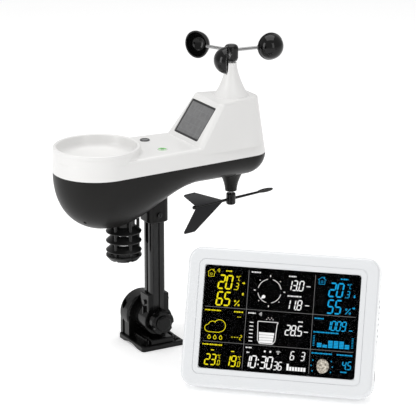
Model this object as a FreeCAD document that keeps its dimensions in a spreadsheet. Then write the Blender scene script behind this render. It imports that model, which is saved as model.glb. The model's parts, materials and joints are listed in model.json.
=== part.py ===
import FreeCAD, Part

import math
import os
import re

import Sketcher
from FreeCAD import Placement, Rotation, Vector

# A home weather station: a seven-in-one outdoor sensor on a pole with a tilting foot,
# and the indoor console that stands beside it. Millimetres, +Z up. The origin is the
# centre of the underside of the foot, X runs along the sensor body, -Y is the near side.

DIMENSIONS = [
    # foot and pole
    ("line_offset", -12.0, "Y of the pole axis and of the sensor body's centre line"),
    ("plate_length", 72.0, "foot plate along X"),
    ("plate_width", 81.0, "foot plate along Y"),
    ("plate_thickness", 7.5, "foot plate"),
    ("plate_corner", 5.0, "foot plate corner radius"),
    ("screw_pitch_x", 55.0, "foot screw holes along X"),
    ("screw_pitch_y", 60.0, "foot screw holes along Y"),
    ("foot_hole", 5.5, "foot screw hole diameter"),
    ("pedestal_length", 38.0, "raised pedestal along X"),
    ("pedestal_height", 8.0, "pedestal above the plate"),
    ("pivot_height", 41.0, "tilt axis above the floor"),
    ("ear_radius", 34.0, "half-round ear"),
    ("ear_inner", 13.0, "near face of the ear, Y"),
    ("ear_outer", 40.5, "far face of the ear, Y"),
    ("drum_radius", 24.0, "drums of the tilt joint"),
    ("drum_gap", 0.4, "play between the faces of the tilt joint"),
    ("bolt_diameter", 8.0, "pivot bolt"),
    ("bolt_play", 0.05, "radial play of the pivot bolt"),
    ("knob_radius", 19.0, "clamp knob over its lobes"),
    ("knob_depth", 17.0, "clamp knob along Y"),
    ("pole_side", 25.0, "square pole"),
    ("pole_corner", 4.5, "pole corner radius"),
    ("pole_wall", 2.4, "pole wall"),
    ("pole_bottom", 58.0, "pole's lower end"),
    ("pole_top", 248.0, "pole's upper end"),
    ("groove_width", 5.0, "groove along each face of the pole"),
    ("groove_depth", 2.0, "depth of that groove"),
    ("slot_width", 9.0, "key slot in the pole"),
    ("slot_bottom", 168.0, "lower end of the key slot"),
    ("socket_wall", 5.0, "wall of the sockets that hold the pole"),
    ("socket_play", 0.15, "play of the pole in its sockets, each side"),
    ("collar_bottom", 199.0, "lower end of the collar under the sensor body"),
    # sensor body
    ("seam_height", 291.0, "joint of the white cover and the dark shell"),
    ("deck_height", 317.0, "flat deck of the cover"),
    ("rim_height", 329.5, "top of the rain collector"),
    ("collector_place", -95.0, "X of the rain collector's axis"),
    ("collector_radius", 66.0, "body radius around the collector at the seam"),
    ("ring_radius", 65.2, "collector ring outside"),
    ("mast_place", 134.0, "X of the wind sensors' axis"),
    ("body_end", 180.0, "X of the far end at the seam"),
    ("end_half_width", 50.0, "half width near that end at the seam"),
    ("end_corner", 34.0, "corner radius of that end"),
    ("deck_draft", 3.6, "how far the end leans in between seam and deck"),
    ("deck_round", 6.0, "rounding of the deck's edge"),
    ("cover_wall", 2.5, "wall of both shells"),
    ("bowl_depth", 90.5, "depth of the dark shell under the collector"),
    ("waist_depth", 38.0, "depth of the dark shell at its shallow end"),
    ("bowl_end", -75.0, "X where the deep bowl starts to rise"),
    ("waist_start", 62.0, "X where the shallow end starts"),
    # tower with the solar panel
    ("tower_foot", 50.0, "X where the sloping front leaves the deck"),
    ("tower_height", 377.0, "top of the tower"),
    ("tower_front", 92.0, "X of the top's front edge"),
    ("tower_back", 171.0, "X of the top's back edge"),
    ("tower_front_half", 45.0, "half width of the top in front"),
    ("tower_back_half", 24.0, "half width of the top at the back"),
    ("tower_front_round", 9.0, "soft edge between front and sides"),
    ("tower_back_round", 17.0, "rounding of the top's back corners"),
    ("tower_edge", 4.0, "rounding of the top edge"),
    ("panel_width", 72.0, "solar panel across"),
    ("panel_length", 57.0, "solar panel up the slope"),
    ("panel_thickness", 3.0, "solar panel"),
    ("panel_recess", 1.0, "panel face below the cover's face"),
    ("panel_play", 0.3, "gap around the panel"),
    ("mast_base_radius", 27.0, "flared foot of the mast"),
    ("mast_tip_radius", 8.0, "top of the mast"),
    ("mast_height", 428.0, "top of the mast"),
    # wind cups
    ("shaft_diameter", 4.0, "both wind shafts"),
    ("bearing_diameter", 9.0, "outside of the shaft bearings"),
    ("bearing_height", 4.0, "shaft bearings"),
    ("shaft_play", 0.05, "radial play of the shafts"),
    ("rotor_radius", 10.5, "rotor hub"),
    ("rotor_bottom", 431.0, "underside of the rotor hub"),
    ("rotor_top", 455.5, "top of the rotor hub"),
    ("arm_height", 446.5, "cup arms"),
    ("arm_diameter", 5.0, "cup arms"),
    ("cup_reach", 65.0, "cup centres from the rotor's axis"),
    ("cup_radius", 20.5, "cups outside"),
    ("cup_wall", 1.5, "cup wall"),
    ("cup_start_angle", -5.0, "first cup from +X, degrees"),
    # vane
    ("vane_height", 212.0, "arm of the wind vane"),
    ("vane_yaw", 10.0, "vane from +X, degrees"),
    ("vane_hub_radius", 7.3, "vane hub"),
    ("vane_hub_height", 20.0, "vane hub"),
    ("vane_nose", 85.0, "nose of the vane from its axis"),
    ("vane_tail", 72.0, "end of the vane's arm behind its axis"),
    ("vane_arm_diameter", 4.6, "vane arm"),
    ("fin_span", 36.0, "fins away from their crease"),
    ("fin_angle", 59.0, "fins from the level, degrees"),
    ("fin_thickness", 1.6, "fins"),
    ("vane_cone_top", 17.0, "radius of the cone above the vane where it leaves the shell"),
    ("vane_cone_tip", 9.0, "radius of that cone's end"),
    ("vane_cone_bottom", 226.0, "lower end of that cone"),
    # radiation shield
    ("shield_place", -52.0, "X of the radiation shield"),
    ("shield_radius", 27.0, "louvre plates"),
    ("shield_pitch", 14.7, "louvre plates apart"),
    ("shield_top", 195.0, "uppermost louvre plate"),
    ("shield_wall", 2.2, "louvre plates"),
    ("post_diameter", 5.0, "posts through the plates"),
    # small parts of the sensor
    ("spot_offset", 28.0, "light sensor and level from the centre line"),
    ("spot_radius", 7.5, "light sensor and level"),
    ("bucket_height", 262.0, "axis of the tipping bucket"),
    ("bucket_length", 68.0, "tipping bucket along X"),
    ("bucket_width", 26.0, "tipping bucket along Y"),
    ("axle_diameter", 3.0, "bucket axle"),
    ("cell_diameter", 14.5, "battery cells"),
    ("cell_length", 50.5, "battery cells"),
    ("cell_pitch", 15.2, "battery cells apart"),
    ("bay_place", 86.0, "X of the battery bay's centre"),
    ("door_length", 50.0, "battery door along X"),
    ("door_width", 56.0, "battery door along Y"),
    ("door_gap", 0.4, "gap around both battery doors"),
    ("reset_place", 48.0, "X of the reset button"),
    ("reset_offset", -22.0, "reset button from the centre line"),
    ("reset_radius", 3.0, "reset button"),
    # console
    ("console_width", 281.0, "console across"),
    ("console_height", 203.0, "console along its face"),
    ("console_depth", 36.0, "console front to back"),
    ("console_corner", 21.0, "console corner radius"),
    ("console_split", 14.0, "joint of its two halves behind the face"),
    ("console_wall", 2.6, "console wall"),
    ("console_edge", 5.0, "rounding of its front and back edges"),
    ("glass_width", 230.0, "display glass across"),
    ("glass_height", 151.0, "display glass up"),
    ("glass_thickness", 1.6, "display glass"),
    ("glass_bottom", 27.0, "glass above the console's lower edge"),
    ("lean", 20.0, "console leaning back, degrees"),
    ("console_yaw", -42.0, "console turned about Z, degrees"),
    ("console_x", 40.5, "middle of the console's lower front edge, X"),
    ("console_y", -300.0, "middle of the console's lower front edge, Y"),
    ("leg_pivot", 95.0, "stand's hinge above the console's lower edge"),
    ("leg_open", 30.0, "stand from the console's back, degrees"),
    ("leg_width", 62.0, "stand across"),
    ("leg_thickness", 4.5, "stand"),
    ("leg_pin", 3.0, "stand's hinge pin"),
    ("button_radius", 4.5, "buttons on the back"),
    ("button_pitch", 15.0, "those buttons apart"),
    ("button_play", 0.3, "gap around each button"),
]

doc = FreeCAD.newDocument("weather_station")
sheet = doc.addObject("Spreadsheet::Sheet", "Dims")
for row, (alias, value, note) in enumerate(DIMENSIONS, start=1):
    sheet.set("A%d" % row, note)
    sheet.set("B%d" % row, repr(value))
    sheet.setAlias("B%d" % row, alias)
doc.recompute()
ALIASES = {alias for alias, value, note in DIMENSIONS}
nodes = []

X_AXIS = Vector(1, 0, 0)
Y_AXIS = Vector(0, 1, 0)
Z_AXIS = Vector(0, 0, 1)
TURN = {"Z": Rotation(), "Y": Rotation(X_AXIS, -90), "X": Rotation(Y_AXIS, 90)}


def dim(alias):
    """The sheet's value of one dimension."""
    return float(getattr(sheet, alias))


def bound(formula):
    """A formula in the sheet's aliases, as another object's expression."""
    def prefixed(match):
        return "Dims." + match.group(0) if match.group(0) in ALIASES else match.group(0)
    return re.sub(r"[A-Za-z_]\w*", prefixed, str(formula))


def value_of(formula):
    return float(sheet.evalExpression(str(formula)))


def place(thing, at, axis="Z"):
    """Turn a thing's Z to an axis and tie its position to the sheet."""
    thing.Placement = Placement(Vector(*[value_of(part) for part in at]), TURN[axis])
    for name, part in zip("xyz", at):
        thing.setExpression("Placement.Base." + name, bound(part))


def primitive(kind, name, at, axis="Z", **sizes):
    thing = doc.addObject("Part::" + kind, name)
    for size, formula in sizes.items():
        thing.setExpression(size, bound(formula))
    place(thing, at, axis)
    return thing


def cylinder(name, radius, height, at, axis="Z"):
    return primitive("Cylinder", name, at, axis, Radius=radius, Height=height)


def cone(name, lower, upper, height, at, axis="Z"):
    return primitive("Cone", name, at, axis, Radius1=lower, Radius2=upper, Height=height)


def block(name, size_x, size_y, size_z, low_corner):
    return primitive("Box", name, low_corner, Length=size_x, Width=size_y, Height=size_z)


def fuse(name, things):
    joined = doc.addObject("Part::MultiFuse", name)
    joined.Shapes = things
    return joined


def cut(name, base, tools):
    result = doc.addObject("Part::Cut", name)
    result.Base = base
    result.Tool = tools[0] if len(tools) == 1 else fuse(name + "_tools", tools)
    return result


def compound(name, things):
    group = doc.addObject("Part::Compound", name)
    group.Links = things
    return group


def rounded(name, base, radius, wanted):
    """A Part::Fillet of the edges that the test 'wanted' picks."""
    doc.recompute()
    result = doc.addObject("Part::Fillet", name)
    result.Base = base
    size = value_of(radius)
    picked = [number for number, edge in enumerate(base.Shape.Edges, start=1) if wanted(edge)]
    result.Edges = [(number, size, size) for number in picked]
    return result


def node(thing, label):
    """Register a finished sub-part under its own name."""
    thing.Label = label
    nodes.append(thing)
    return thing


def new_body(name):
    return doc.addObject("PartDesign::Body", name)


def origin_plane(body, role):
    return [plane for plane in body.Origin.OriginFeatures if plane.Role == role][0]


def add_sketch(body, name, role="XY_Plane", raised=None):
    drawing = body.newObject("Sketcher::SketchObject", name)
    drawing.AttachmentSupport = [(origin_plane(body, role), "")]
    drawing.MapMode = "FlatFace"
    if raised is not None:
        drawing.setExpression("AttachmentOffset.Base.z", bound(raised))
    return drawing


def tie(drawing, kind, place_on_sketch, formula):
    """A sketch constraint whose value is a formula."""
    index = drawing.addConstraint(Sketcher.Constraint(kind, *place_on_sketch, value_of(formula)))
    drawing.setExpression("Constraints[%d]" % index, bound(formula))


def draw_polygon(drawing, corners):
    """Straight sides whose corners are tied to formulas."""
    places = [Vector(value_of(a), value_of(b), 0) for a, b in corners]
    first = drawing.GeometryCount
    count = len(places)
    for index in range(count):
        drawing.addGeometry(Part.LineSegment(places[index], places[(index + 1) % count]), False)
    for index in range(count):
        following = (index + 1) % count
        drawing.addConstraint(Sketcher.Constraint("Coincident", first + index, 2, first + following, 1))
    for index, (across, up) in enumerate(corners):
        tie(drawing, "DistanceX", (first + index, 1), across)
        tie(drawing, "DistanceY", (first + index, 1), up)


def draw_circle(drawing, across, up, radius):
    centre = Vector(value_of(across), value_of(up), 0)
    index = drawing.addGeometry(Part.Circle(centre, Z_AXIS, value_of(radius)), False)
    tie(drawing, "DistanceX", (index, 3), across)
    tie(drawing, "DistanceY", (index, 3), up)
    tie(drawing, "Radius", (index,), radius)


def pad(body, drawing, length, midplane=False, backwards=False):
    feature = body.newObject("PartDesign::Pad", drawing.Name + "_pad")
    feature.Profile = drawing
    feature.setExpression("Length", bound(length))
    feature.Midplane = midplane
    feature.Reversed = backwards
    drawing.Visibility = False
    return feature


def pocket(body, drawing, depth, midplane=False, backwards=False):
    feature = body.newObject("PartDesign::Pocket", drawing.Name + "_pocket")
    feature.Profile = drawing
    feature.setExpression("Length", bound(depth))
    feature.Midplane = midplane
    feature.Reversed = backwards
    return feature


def turned(name, profile, at, axis="Z"):
    """A lathe-turned body: the profile's corners are (radius, height) formulas."""
    body = new_body(name)
    drawing = add_sketch(body, name + "_profile", "XZ_Plane")
    draw_polygon(drawing, profile)
    feature = body.newObject("PartDesign::Revolution", name + "_turn")
    feature.Profile = drawing
    feature.ReferenceAxis = (drawing, ["V_Axis"])
    feature.Angle = 360
    place(body, at, axis)
    return body


def soften(body, radius, wanted):
    """A PartDesign::Fillet on the edges of the body's tip that the test picks."""
    doc.recompute()
    tip = body.Tip
    names = ["Edge%d" % number for number, edge in enumerate(tip.Shape.Edges, start=1) if wanted(edge)]
    feature = body.newObject("PartDesign::Fillet", body.Name + "_soft%d" % len(body.Group))
    feature.Base = (tip, names)
    feature.setExpression("Radius", bound(radius))
    return feature


def near(first, second, slack=0.02):
    return abs(first - second) < slack


def is_circle(edge, radius, height=None):
    """True for a full or part circle of that radius, at that local height if given."""
    if edge.Curve.TypeId != "Part::GeomCircle" or not near(edge.Curve.Radius, value_of(radius)):
        return False
    return height is None or near(edge.Curve.Center.z, value_of(height))


def shaped(label, shape, frame=Placement()):
    """A sub-part whose free-form shape is set here, from the sheet's values, in a given frame."""
    thing = doc.addObject("Part::Feature", label)
    thing.Shape = shape
    thing.Placement = frame.multiply(shape.Placement)
    return node(thing, label)


# ---------------------------------------------------------------- foot and tilt joint

def rectangle(length, width):
    """Corners of a rectangle about the sketch's origin."""
    half_x, half_y = "(%s)/2" % length, "(%s)/2" % width
    return [("-" + half_x, "-" + half_y), (half_x, "-" + half_y), (half_x, half_y), ("-" + half_x, half_y)]


def upright(edge):
    """True for a straight vertical edge."""
    ends = [vertex.Point for vertex in edge.Vertexes]
    return len(ends) == 2 and near(ends[0].x, ends[1].x) and near(ends[0].y, ends[1].y)


def foot_corners():
    return [(side_x, side_y) for side_x in ("-", "") for side_y in ("-", "")]


def make_base_bracket():
    plate = new_body("plate")
    drawing = add_sketch(plate, "plate_outline")
    draw_polygon(drawing, rectangle("plate_length", "plate_width"))
    pad(plate, drawing, "plate_thickness")
    soften(plate, "plate_corner", upright)
    soften(plate, "1.5", lambda edge: near(edge.BoundBox.ZMin, value_of("plate_thickness")))
    pedestal = block("pedestal", "pedestal_length", "ear_outer + plate_width/2 - 4", "pedestal_height + 1",
                     ("-pedestal_length/2", "4 - plate_width/2", "plate_thickness - 1"))
    pedestal_soft = rounded("pedestal_soft", pedestal, "2.5",
                            lambda edge: near(edge.CenterOfMass.z, value_of("plate_thickness + pedestal_height")))
    ear = new_body("ear")
    profile = add_sketch(ear, "ear_profile", "XZ_Plane")
    draw_circle(profile, "0", "pivot_height", "ear_radius")
    pad(ear, profile, "ear_outer - ear_inner")
    soften(ear, "4", lambda edge: is_circle(edge, "ear_radius"))
    place(ear, ("0", "ear_outer", "0"))
    cheek = block("cheek", "2*ear_radius - 4", "ear_outer - ear_inner", "pivot_height - plate_thickness + 1",
                  ("2 - ear_radius", "ear_inner", "plate_thickness - 1"))
    ribs = [block("rib_%d" % number, "3", "plate_width - 12", "pedestal_height + 6",
                  ("%d * (pedestal_length/2 + 5) - 1.5" % side, "6 - plate_width/2", "plate_thickness - 1"))
            for number, side in enumerate((-1, 1))]
    drum = cylinder("fixed_drum", "drum_radius", "ear_inner - (line_offset + pole_side/2) - drum_gap + 1",
                    ("0", "line_offset + pole_side/2 + drum_gap", "pivot_height"), "Y")
    below = block("below_floor", "200", "200", "60", ("-100", "-100", "-60"))
    front_trim = block("rib_trim", "2*(pedestal_length/2 + 8)", "ear_inner - line_offset + 40", "60",
                       ("-pedestal_length/2 - 8", "line_offset - 40", "plate_thickness + pedestal_height"))
    ribs_low = cut("ribs_low", fuse("ribs", ribs), [front_trim])
    hollows = [cylinder("foot_hole_%d" % number, "foot_hole/2", "plate_thickness + 40",
                        (sign_x + "screw_pitch_x/2", sign_y + "screw_pitch_y/2", "-1"))
               for number, (sign_x, sign_y) in enumerate(foot_corners())]
    hollows += [cylinder("driver_way_%d" % number, "foot_hole", "120",
                         (sign_x + "screw_pitch_x/2", sign_y + "screw_pitch_y/2", "plate_thickness - 1"))
                for number, (sign_x, sign_y) in enumerate(foot_corners())]
    hollows.append(cylinder("bolt_way", "bolt_diameter/2 + bolt_play", "200", ("0", "-100", "pivot_height"), "Y"))
    hollows.append(cylinder("bolt_seat", "bolt_diameter", "7", ("0", "ear_outer - 6", "pivot_height"), "Y"))
    hollows.append(cylinder("pipe_channel", "60", "plate_length + 2",
                            ("-plate_length/2 - 1", "0", "-56.5"), "X"))
    hollows.append(below)
    solid = fuse("bracket_solid", [plate, pedestal_soft, ear, cheek, ribs_low, drum])
    node(cut("bracket", solid, hollows), "base_bracket")


def make_pivot():
    bolt = fuse("bolt", [
        cylinder("bolt_stem", "bolt_diameter/2", "ear_outer - 6 - line_offset + pole_side/2 + knob_depth - 3",
                 ("0", "line_offset - pole_side/2 - knob_depth + 3", "pivot_height"), "Y"),
        cylinder("bolt_head", "bolt_diameter - 0.5", "5.5", ("0", "ear_outer - 6", "pivot_height"), "Y")])
    node(bolt, "pivot_bolt")
    washer_face = "line_offset - pole_side/2 - drum_gap"
    washer = cut("washer_ring", cylinder("washer_disc", "15", "1.6", ("0", washer_face + " - 1.6", "pivot_height"), "Y"),
                 [cylinder("washer_hole", "bolt_diameter/2 + 0.1", "6", ("0", washer_face + " - 4", "pivot_height"), "Y")])
    node(washer, "clamp_washer")
    knob = new_body("knob")
    outline = add_sketch(knob, "knob_outline", "XY_Plane")
    draw_circle(outline, "0", "0", "knob_radius")
    pad(knob, outline, "knob_depth - 4")
    dish = add_sketch(knob, "knob_cap_outline", "XY_Plane", "knob_depth - 4")
    draw_circle(dish, "0", "0", "knob_radius - 7")
    pad(knob, dish, "4")
    soften(knob, "2.5", lambda edge: is_circle(edge, "knob_radius") or is_circle(edge, "knob_radius - 7", "knob_depth"))
    knob.Placement = Placement(Vector(0, 0, 0), Rotation(X_AXIS, 90))
    face = washer_face + " - 1.6 - 0.3"
    knob.setExpression("Placement.Base.y", bound(face))
    knob.setExpression("Placement.Base.z", bound("pivot_height"))
    bites = []
    for number in range(5):
        angle = math.radians(90 + 36 + 72 * number)
        bites.append(cylinder("knob_bite_%d" % number, "6", "knob_depth - 3.9",
                              ("(knob_radius + 2.2) * %.6f" % math.cos(angle), face + " - knob_depth + 3.95",
                               "pivot_height + (knob_radius + 2.2) * %.6f" % math.sin(angle)), "Y"))
    bites.append(cylinder("knob_bore", "bolt_diameter/2 + bolt_play", "knob_depth - 3",
                          ("0", face + " - knob_depth + 4", "pivot_height"), "Y"))
    node(cut("lobed_knob", knob, bites), "clamp_knob")


# ---------------------------------------------------------------- pole

def square_section(side, corner):
    """A rounded square wire about the origin."""
    half = side / 2
    inner = half - corner
    edges = []
    for quarter in range(4):
        turn = Rotation(Z_AXIS, 90 * quarter)
        start = turn.multVec(Vector(half, -inner, 0))
        middle = turn.multVec(Vector(half, inner, 0))
        diagonal = corner * math.sqrt(0.5)
        bend = turn.multVec(Vector(inner + diagonal, inner + diagonal, 0))
        finish = turn.multVec(Vector(inner, half, 0))
        edges.append(Part.LineSegment(start, middle).toShape())
        edges.append(Part.Arc(middle, bend, finish).toShape())
    return Part.Wire(edges)


def square_bar(side, corner, bottom, top):
    section = square_section(side, corner)
    section.translate(Vector(0, dim("line_offset"), bottom))
    return Part.Face(section).extrude(Vector(0, 0, top - bottom))


def rounded_slot(width, length_z, depth):
    """A slot cutter in the XZ plane, rounded below, its depth along Y from 0."""
    radius = width / 2
    low = Part.makeCylinder(radius, depth, Vector(0, 0, 0), Y_AXIS)
    bar = Part.makeBox(width, depth, length_z, Vector(-radius, 0, 0))
    return low.fuse(bar)


def make_pole():
    side, bottom, top = dim("pole_side"), dim("pole_bottom"), dim("pole_top")
    outer = square_bar(side, dim("pole_corner"), bottom, top)
    inner_side = side - 2 * (dim("pole_wall") + dim("groove_depth"))
    solid = outer.cut(square_bar(inner_side, 2.0, bottom - 1, top + 1))
    width, depth = dim("groove_width"), dim("groove_depth")
    for quarter in range(4):
        groove = Part.makeBox(width, depth + 1, top - bottom + 2, Vector(-width / 2, -side / 2 - 1, bottom - 1))
        groove.rotate(Vector(0, 0, 0), Z_AXIS, 90 * quarter)
        groove.translate(Vector(0, dim("line_offset"), 0))
        solid = solid.cut(groove)
    slot = rounded_slot(dim("slot_width"), top - dim("slot_bottom"), side)
    slot.rotate(Vector(0, 0, 0), Z_AXIS, 90)
    slot.translate(Vector(-side / 4, dim("line_offset"), dim("slot_bottom")))
    solid = solid.cut(slot)
    across = Part.makeCylinder(2.2, 4 * side, Vector(0, dim("line_offset") - 2 * side, screw_height()), Y_AXIS)
    low_across = Part.makeCylinder(2.2, 4 * side, Vector(-2 * side, dim("line_offset"), knuckle_screw_height()), X_AXIS)
    shaped("pole", solid.cut(across).cut(low_across).removeSplitter())


def screw_height():
    """The screw that locks the pole in the collar."""
    return dim("collar_bottom") + 12


def knuckle_screw_height():
    return dim("pole_bottom") + 12


def make_pole_knuckle():
    side, line, pivot = dim("pole_side"), dim("line_offset"), dim("pivot_height")
    play, wall = dim("socket_play"), dim("socket_wall")
    drum = Part.makeCylinder(dim("drum_radius") - 0.5, side, Vector(0, line - side / 2, pivot), Y_AXIS)
    drum = drum.makeFillet(1.2, [edge for edge in drum.Edges if edge.Curve.TypeId == "Part::GeomCircle"])
    outer_side = side + 2 * wall
    top = dim("pole_bottom") + 26
    sleeve = square_bar(outer_side, dim("pole_corner") + 2, pivot + 8, top)
    sleeve = sleeve.makeFillet(1.5, [edge for edge in sleeve.Edges if near(edge.BoundBox.ZMin, top)])
    limit = Part.makeBox(100, side, 200, Vector(-50, line - side / 2, 0))
    sleeve = sleeve.common(limit)
    rib = Part.makeBox(2 * dim("drum_radius") - 6, 3.0, 14, Vector(3 - dim("drum_radius"), line - 1.5, pivot + 8))
    solid = drum.fuse([sleeve, rib])
    solid = solid.cut(square_bar(side + 2 * play, dim("pole_corner"), dim("pole_bottom"), top + 1))
    bore = Part.makeCylinder(dim("bolt_diameter") / 2 + dim("bolt_play"), 200, Vector(0, -100, pivot), Y_AXIS)
    across = Part.makeCylinder(2.2, 200, Vector(-100, line, knuckle_screw_height()), X_AXIS)
    shaped("pole_knuckle", solid.cut([bore, across]).removeSplitter())


# ---------------------------------------------------------------- sensor body: outline and shells

def body_outline(inset, level):
    """Plan outline of the sensor body at a height: a large arc round the collector, two
    tangent sides and a blunt end with round corners. It leans in from seam to deck."""
    share = (level - dim("seam_height")) / (dim("deck_height") - dim("seam_height"))
    lean = dim("deck_draft") * max(share, 0.0)
    left = dim("collector_radius") - (dim("collector_radius") - dim("ring_radius")) * max(share, 0.0) - inset
    corner = dim("end_corner") - inset
    centre = Vector(dim("collector_place"), 0, 0)
    corner_x = dim("body_end") - dim("end_corner") - lean * 0.8
    corner_y = dim("end_half_width") - dim("end_corner") - lean
    reach = Vector(corner_x, corner_y, 0) - centre
    tilt = math.atan2(reach.y, reach.x) + math.acos((left - corner) / reach.Length)
    normal = Vector(math.cos(tilt), math.sin(tilt), 0)
    return {"left": left, "corner": corner, "centre": centre, "normal": normal,
            "bend": Vector(corner_x, corner_y, 0), "end": corner_x + corner}


def outline_wire(inset, level):
    plan = body_outline(inset, level)
    mirror = Vector(plan["normal"].x, -plan["normal"].y, 0)
    bend_low = Vector(plan["bend"].x, -plan["bend"].y, 0)
    side_start = plan["centre"] + plan["normal"] * plan["left"]
    side_end = plan["bend"] + plan["normal"] * plan["corner"]
    low_start = plan["centre"] + mirror * plan["left"]
    low_end = bend_low + mirror * plan["corner"]
    half_turn = math.atan2(plan["normal"].y, plan["normal"].x) / 2
    on_corner = Vector(math.cos(half_turn), math.sin(half_turn), 0) * plan["corner"]
    end_high = Vector(plan["end"], plan["bend"].y, 0)
    end_low = Vector(plan["end"], -plan["bend"].y, 0)
    edges = [
        Part.Arc(side_start, plan["centre"] - X_AXIS * plan["left"], low_start).toShape(),
        Part.LineSegment(low_start, low_end).toShape(),
        Part.Arc(low_end, bend_low + Vector(on_corner.x, -on_corner.y, 0), end_low).toShape(),
        Part.LineSegment(end_low, end_high).toShape(),
        Part.Arc(end_high, plan["bend"] + on_corner, side_end).toShape(),
        Part.LineSegment(side_end, side_start).toShape()]
    wire = Part.Wire(edges)
    wire.translate(Vector(0, dim("line_offset"), level))
    return wire


def half_width(place_x, inset, level):
    """Half the outline's width at a place along the body."""
    plan = body_outline(inset, level)
    start = plan["centre"] + plan["normal"] * plan["left"]
    finish = plan["bend"] + plan["normal"] * plan["corner"]
    if place_x <= start.x:
        return math.sqrt(max(plan["left"] ** 2 - (place_x - plan["centre"].x) ** 2, 0.0))
    if place_x >= finish.x:
        return plan["bend"].y + math.sqrt(max(plan["corner"] ** 2 - (place_x - plan["bend"].x) ** 2, 0.0))
    return start.y + (finish.y - start.y) * (place_x - start.x) / (finish.x - start.x)


def shell_depth(place_x, inset):
    """Depth of the dark shell under the seam: a deep bowl that eases into a shallow end."""
    plan = body_outline(inset, dim("seam_height"))
    deep, shallow = dim("bowl_depth"), dim("waist_depth")
    way = (place_x - dim("bowl_end")) / (dim("waist_start") - dim("bowl_end"))
    way = min(max(way, 0.0), 1.0)
    depth = shallow + (deep - shallow) * (1 + math.cos(math.pi * way)) / 2 - inset
    left_share = (dim("bowl_end") - place_x) / (dim("bowl_end") - plan["centre"].x + plan["left"])
    right_share = (place_x - plan["bend"].x) / plan["corner"]
    for share, fullness in ((left_share, 2.35), (right_share, 2.2)):
        if share > 0:
            depth *= max(1 - share ** fullness, 0.0) ** (1 / fullness)
    return depth


def shell_solid(inset):
    """The dark shell's outer or inner form as one interpolated skin, closed at the seam."""
    seam, line = dim("seam_height"), dim("line_offset")
    plan = body_outline(inset, seam)
    start, finish = plan["centre"].x - plan["left"], plan["end"]
    rows = []
    count = 44
    for step in range(count + 1):
        turn = math.pi * (0.008 + 0.984 * step / count)
        place_x = start + (finish - start) * (1 - math.cos(turn)) / 2
        wide, deep = half_width(place_x, inset, seam), shell_depth(place_x, inset)
        rows.append([Vector(place_x, line + wide * math.cos(math.pi * side / 16),
                            seam - deep * math.sin(math.pi * side / 16) ** 0.92) for side in range(17)])
    skin = Part.BSplineSurface()
    skin.interpolate(rows)
    face = skin.toShape()
    rims = face.Wires[0].OrderedEdges
    caps = []
    for edge in rims:
        ends = [vertex.Point for vertex in edge.Vertexes]
        if near(ends[0].x, ends[1].x):
            caps.append(Part.Face(Part.Wire([edge, Part.LineSegment(ends[0], ends[1]).toShape()])))
    corners = [rows[0][0], rows[-1][0], rows[-1][-1], rows[0][-1]]
    sides = [edge for edge in rims if not near(edge.Vertexes[0].Point.x, edge.Vertexes[-1].Point.x)]
    closing = [Part.LineSegment(corners[1], corners[2]).toShape(), Part.LineSegment(corners[3], corners[0]).toShape()]
    lid = Part.Face(Part.Wire(Part.__sortEdges__(sides + closing)))
    shell = Part.makeShell([face, lid] + caps)
    shell.sewShape()
    solid = Part.Solid(shell)
    solid.fix(0.001, 0.001, 0.001)
    if solid.Volume < 0:
        solid.reverse()
    return solid


def underside_flare():
    """Collar for the pole and the cone above the vane, both growing out of the shell."""
    line, seam, play = dim("line_offset"), dim("seam_height"), dim("socket_play")
    side = dim("pole_side") + 2 * dim("socket_wall")
    bottom = dim("collar_bottom")
    collar = square_bar(side, dim("pole_corner") + 4, bottom, dim("pole_top") + 3)
    collar = collar.makeFillet(2.0, [edge for edge in collar.Edges if near(edge.BoundBox.ZMax, bottom)])
    socket = square_bar(dim("pole_side") + 2 * play, dim("pole_corner"), bottom - 1, dim("pole_top") + 0.2)
    cone_top = seam - dim("waist_depth") + 8
    tip, base, low = dim("vane_cone_tip"), dim("vane_cone_top"), dim("vane_cone_bottom")
    profile = [Vector(0, 0, low), Vector(tip, 0, low), Vector(tip + 1, 0, low + 8),
               Vector(base, 0, cone_top - 8), Vector(base + 5, 0, cone_top), Vector(0, 0, cone_top)]
    curve = Part.BSplineCurve()
    curve.interpolate(profile[1:5])
    edges = [Part.LineSegment(profile[0], profile[1]).toShape(), curve.toShape(),
             Part.LineSegment(profile[4], profile[5]).toShape(), Part.LineSegment(profile[5], profile[0]).toShape()]
    cone_solid = Part.Face(Part.Wire(edges)).revolve(Vector(0, 0, 0), Z_AXIS, 360)
    cone_solid.translate(Vector(dim("mast_place"), line, 0))
    return collar, socket, cone_solid


def door_box(grow, drop=60):
    """The battery door's outline as a block that cuts up through the shell's bottom."""
    length, width = dim("door_length") + 2 * grow, dim("door_width") + 2 * grow
    low = Vector(dim("bay_place") - length / 2, dim("line_offset") - width / 2, dim("seam_height") - drop)
    return Part.makeBox(length, width, drop - 18, low)


def vane_bore():
    return Part.makeCylinder(dim("bearing_diameter") / 2, 40,
                             Vector(dim("mast_place"), dim("line_offset"), dim("vane_cone_bottom") + 1.6))


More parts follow.
